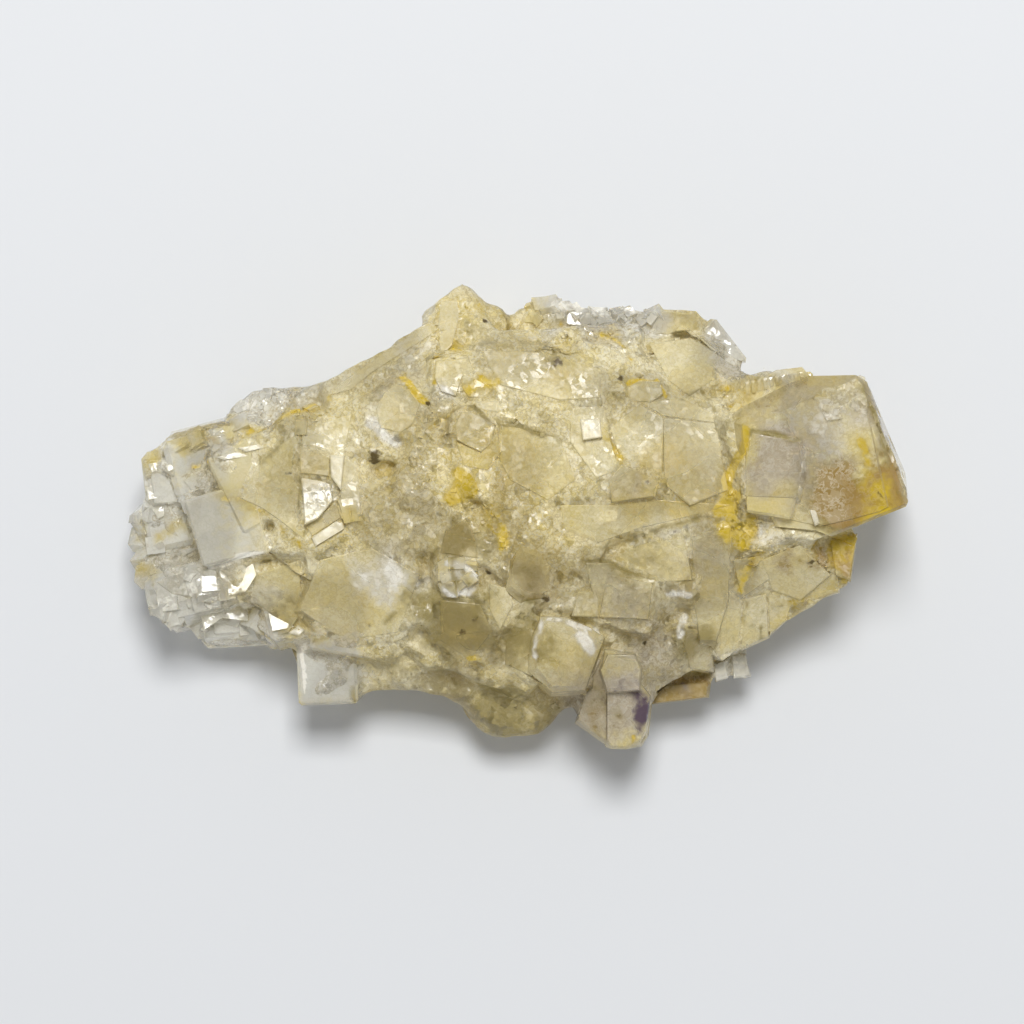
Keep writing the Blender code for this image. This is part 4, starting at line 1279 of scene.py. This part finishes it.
def line(value, level, half_width, strength):
    """strength where value is at level, falling to 0 at half_width beside it: a thin contour line."""
    return ramp(maths("ABSOLUTE", maths("SUBTRACT", value, level)), 0.0, half_width, strength, 0.0)


def grains(across_mm):
    """Cells with wavy borders, about across_mm wide: the distance from the cell's middle, and the cell's
    random colour."""
    cells = node("TexVoronoi", {"Vector": warped, "Scale": 1 / (across_mm * MM)})
    return cells.outputs["Distance"], cells.outputs["Color"]


warp = vectors("SCALE", WARP_WAY, Scale=maths("MULTIPLY", maths("SUBTRACT", grain, 0.5), WARP))
warped = vectors("ADD", place, warp)
coarse_pick = grains(GRAIN_COARSE)[1]
fine_rim, fine_pick = grains(GRAIN_FINE)
stained = highest(shares["violet"], maths("MULTIPLY", shares["smoke"], 0.85),
                  maths("MULTIPLY", shares["amber"], 0.75))
grainy = less(rough, stained, 1.0)
lightest = highest(ramp(mottle, 0.5, 0.68, 0.0, 0.2), ramp(coarse_pick, 0.5, 0.9, 0.0, 0.32),
                   ramp(fine_pick, 0.55, 0.9, 0.0, 0.34), line(grain, 0.56, 0.05, 0.72),
                   line(mottle, 0.53, 0.045, 0.66))
brownest = highest(ramp(mottle, 0.5, 0.32, 0.0, 0.18), ramp(coarse_pick, 0.45, 0.1, 0.0, 0.18),
                   ramp(fine_rim, 0.5, 0.8, 0.0, 0.22), line(grain, 0.47, 0.045, 0.52),
                   line(mottle, 0.45, 0.04, 0.56))
colour = blend(maths("MULTIPLY", grainy, lightest), colour, PALE)
colour = blend(maths("MULTIPLY", grainy, brownest), colour, BROWN)
tone = value_of("tone")
# The tone is pale on faces that mirror the lamp and on most bevels: painted highlight.
colour = blend(maths("MULTIPLY", tone, TONE_SHARE, clamp=True), colour, PALE)
colour = blend(maths("MULTIPLY", tone, -TONE_SHARE, clamp=True), colour, BROWN)
dark = ramp(maths("ADD", value_of("dark"), maths("MULTIPLY", frayed, 2.2)), 0.25, 0.75)
colour = blend(dark, colour, DARK)
print("colour worked out in", len(nodes), "nodes")

# %% [markdown]
# ## Clearness, frost and facets
#
# Milkiness changes in broad patches; stains, clouds and painted glints are nearly opaque, clean faces and
# the clear end let the most through. Frost is the roughness of the surface. Broken or grown-together
# surface also sparkles: each grain tilts the surface a little its own way, and the less clean the face is,
# the more.

# %% Clearness, frost and facets
MILKY = (0.40, 0.64)
FROST = (0.28, 0.46)
OPAQUE = {"amber": 0.9, "rust": 0.85, "cloud_and_glint": 0.75, "smoke": 0.5, "violet": 0.7}
COARSE_TILT, FINE_TILT = 0.8, 0.5
CLEAR_TILT = 0.15

opaque = less(less(ramp(value_of("haze"), 0.0, 1.0, *MILKY), clean, 0.12), shares["clear"], 0.2)
opaque = highest(opaque, *(maths("MULTIPLY", shares[name], share) for name, share in OPAQUE.items()),
                 maths("MULTIPLY", dark, 0.9))
passing = maths("SUBTRACT", 1.0, opaque, clamp=True)
frost = ramp(value_of("warm"), 0.0, 1.0, *FROST)
frost = less(less(frost, maths("POWER", clean, 3.0), 0.7), shares["clear"], 0.8)


def facets(pick, slope):
    """A random tilt for each grain of a broken surface: (the grain's random colour - 0.5) x slope."""
    return vectors("SCALE", vectors("SUBTRACT", pick, (0.5, 0.5, 0.5)), Scale=slope)


bare = highest(maths("SUBTRACT", 1.0, clean), maths("MULTIPLY", shares["clear"], CLEAR_TILT))
tilt = vectors("ADD", facets(coarse_pick, maths("MULTIPLY", bare, COARSE_TILT)), facets(fine_pick, FINE_TILT))
tilt = vectors("SCALE", tilt, Scale=bare)
bent = vectors("NORMALIZE", vectors("ADD", node("NewGeometry").outputs["Normal"], tilt))

# %% Finish the stone
FLUORITE_INDEX = 1.434
INSIDE_COLOUR = (0.90, 0.80, 0.45, 1)
INSIDE_DENSITY = 9

links.new(colour, shader.inputs["Base Color"])
links.new(passing, shader.inputs["Transmission Weight"])
links.new(frost, shader.inputs["Roughness"])
links.new(bent, shader.inputs["Normal"])
shader.inputs["IOR"].default_value = FLUORITE_INDEX
absorb = nodes.new("ShaderNodeVolumeAbsorption")
absorb.inputs["Color"].default_value = INSIDE_COLOUR
absorb.inputs["Density"].default_value = INSIDE_DENSITY
links.new(absorb.outputs[0], nodes["Material Output"].inputs["Volume"])
specimen.data.materials.clear()
specimen.data.materials.append(stone)
print("finish:", len(nodes), "nodes")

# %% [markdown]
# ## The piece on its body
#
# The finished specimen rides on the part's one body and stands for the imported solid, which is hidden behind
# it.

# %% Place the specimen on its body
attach(specimen, "root")
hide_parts("fluorite_cluster")

# %% Sizes
low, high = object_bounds()
print("finished box, mm:", [round((h - l) / MM, 1) for l, h in zip(low, high)])
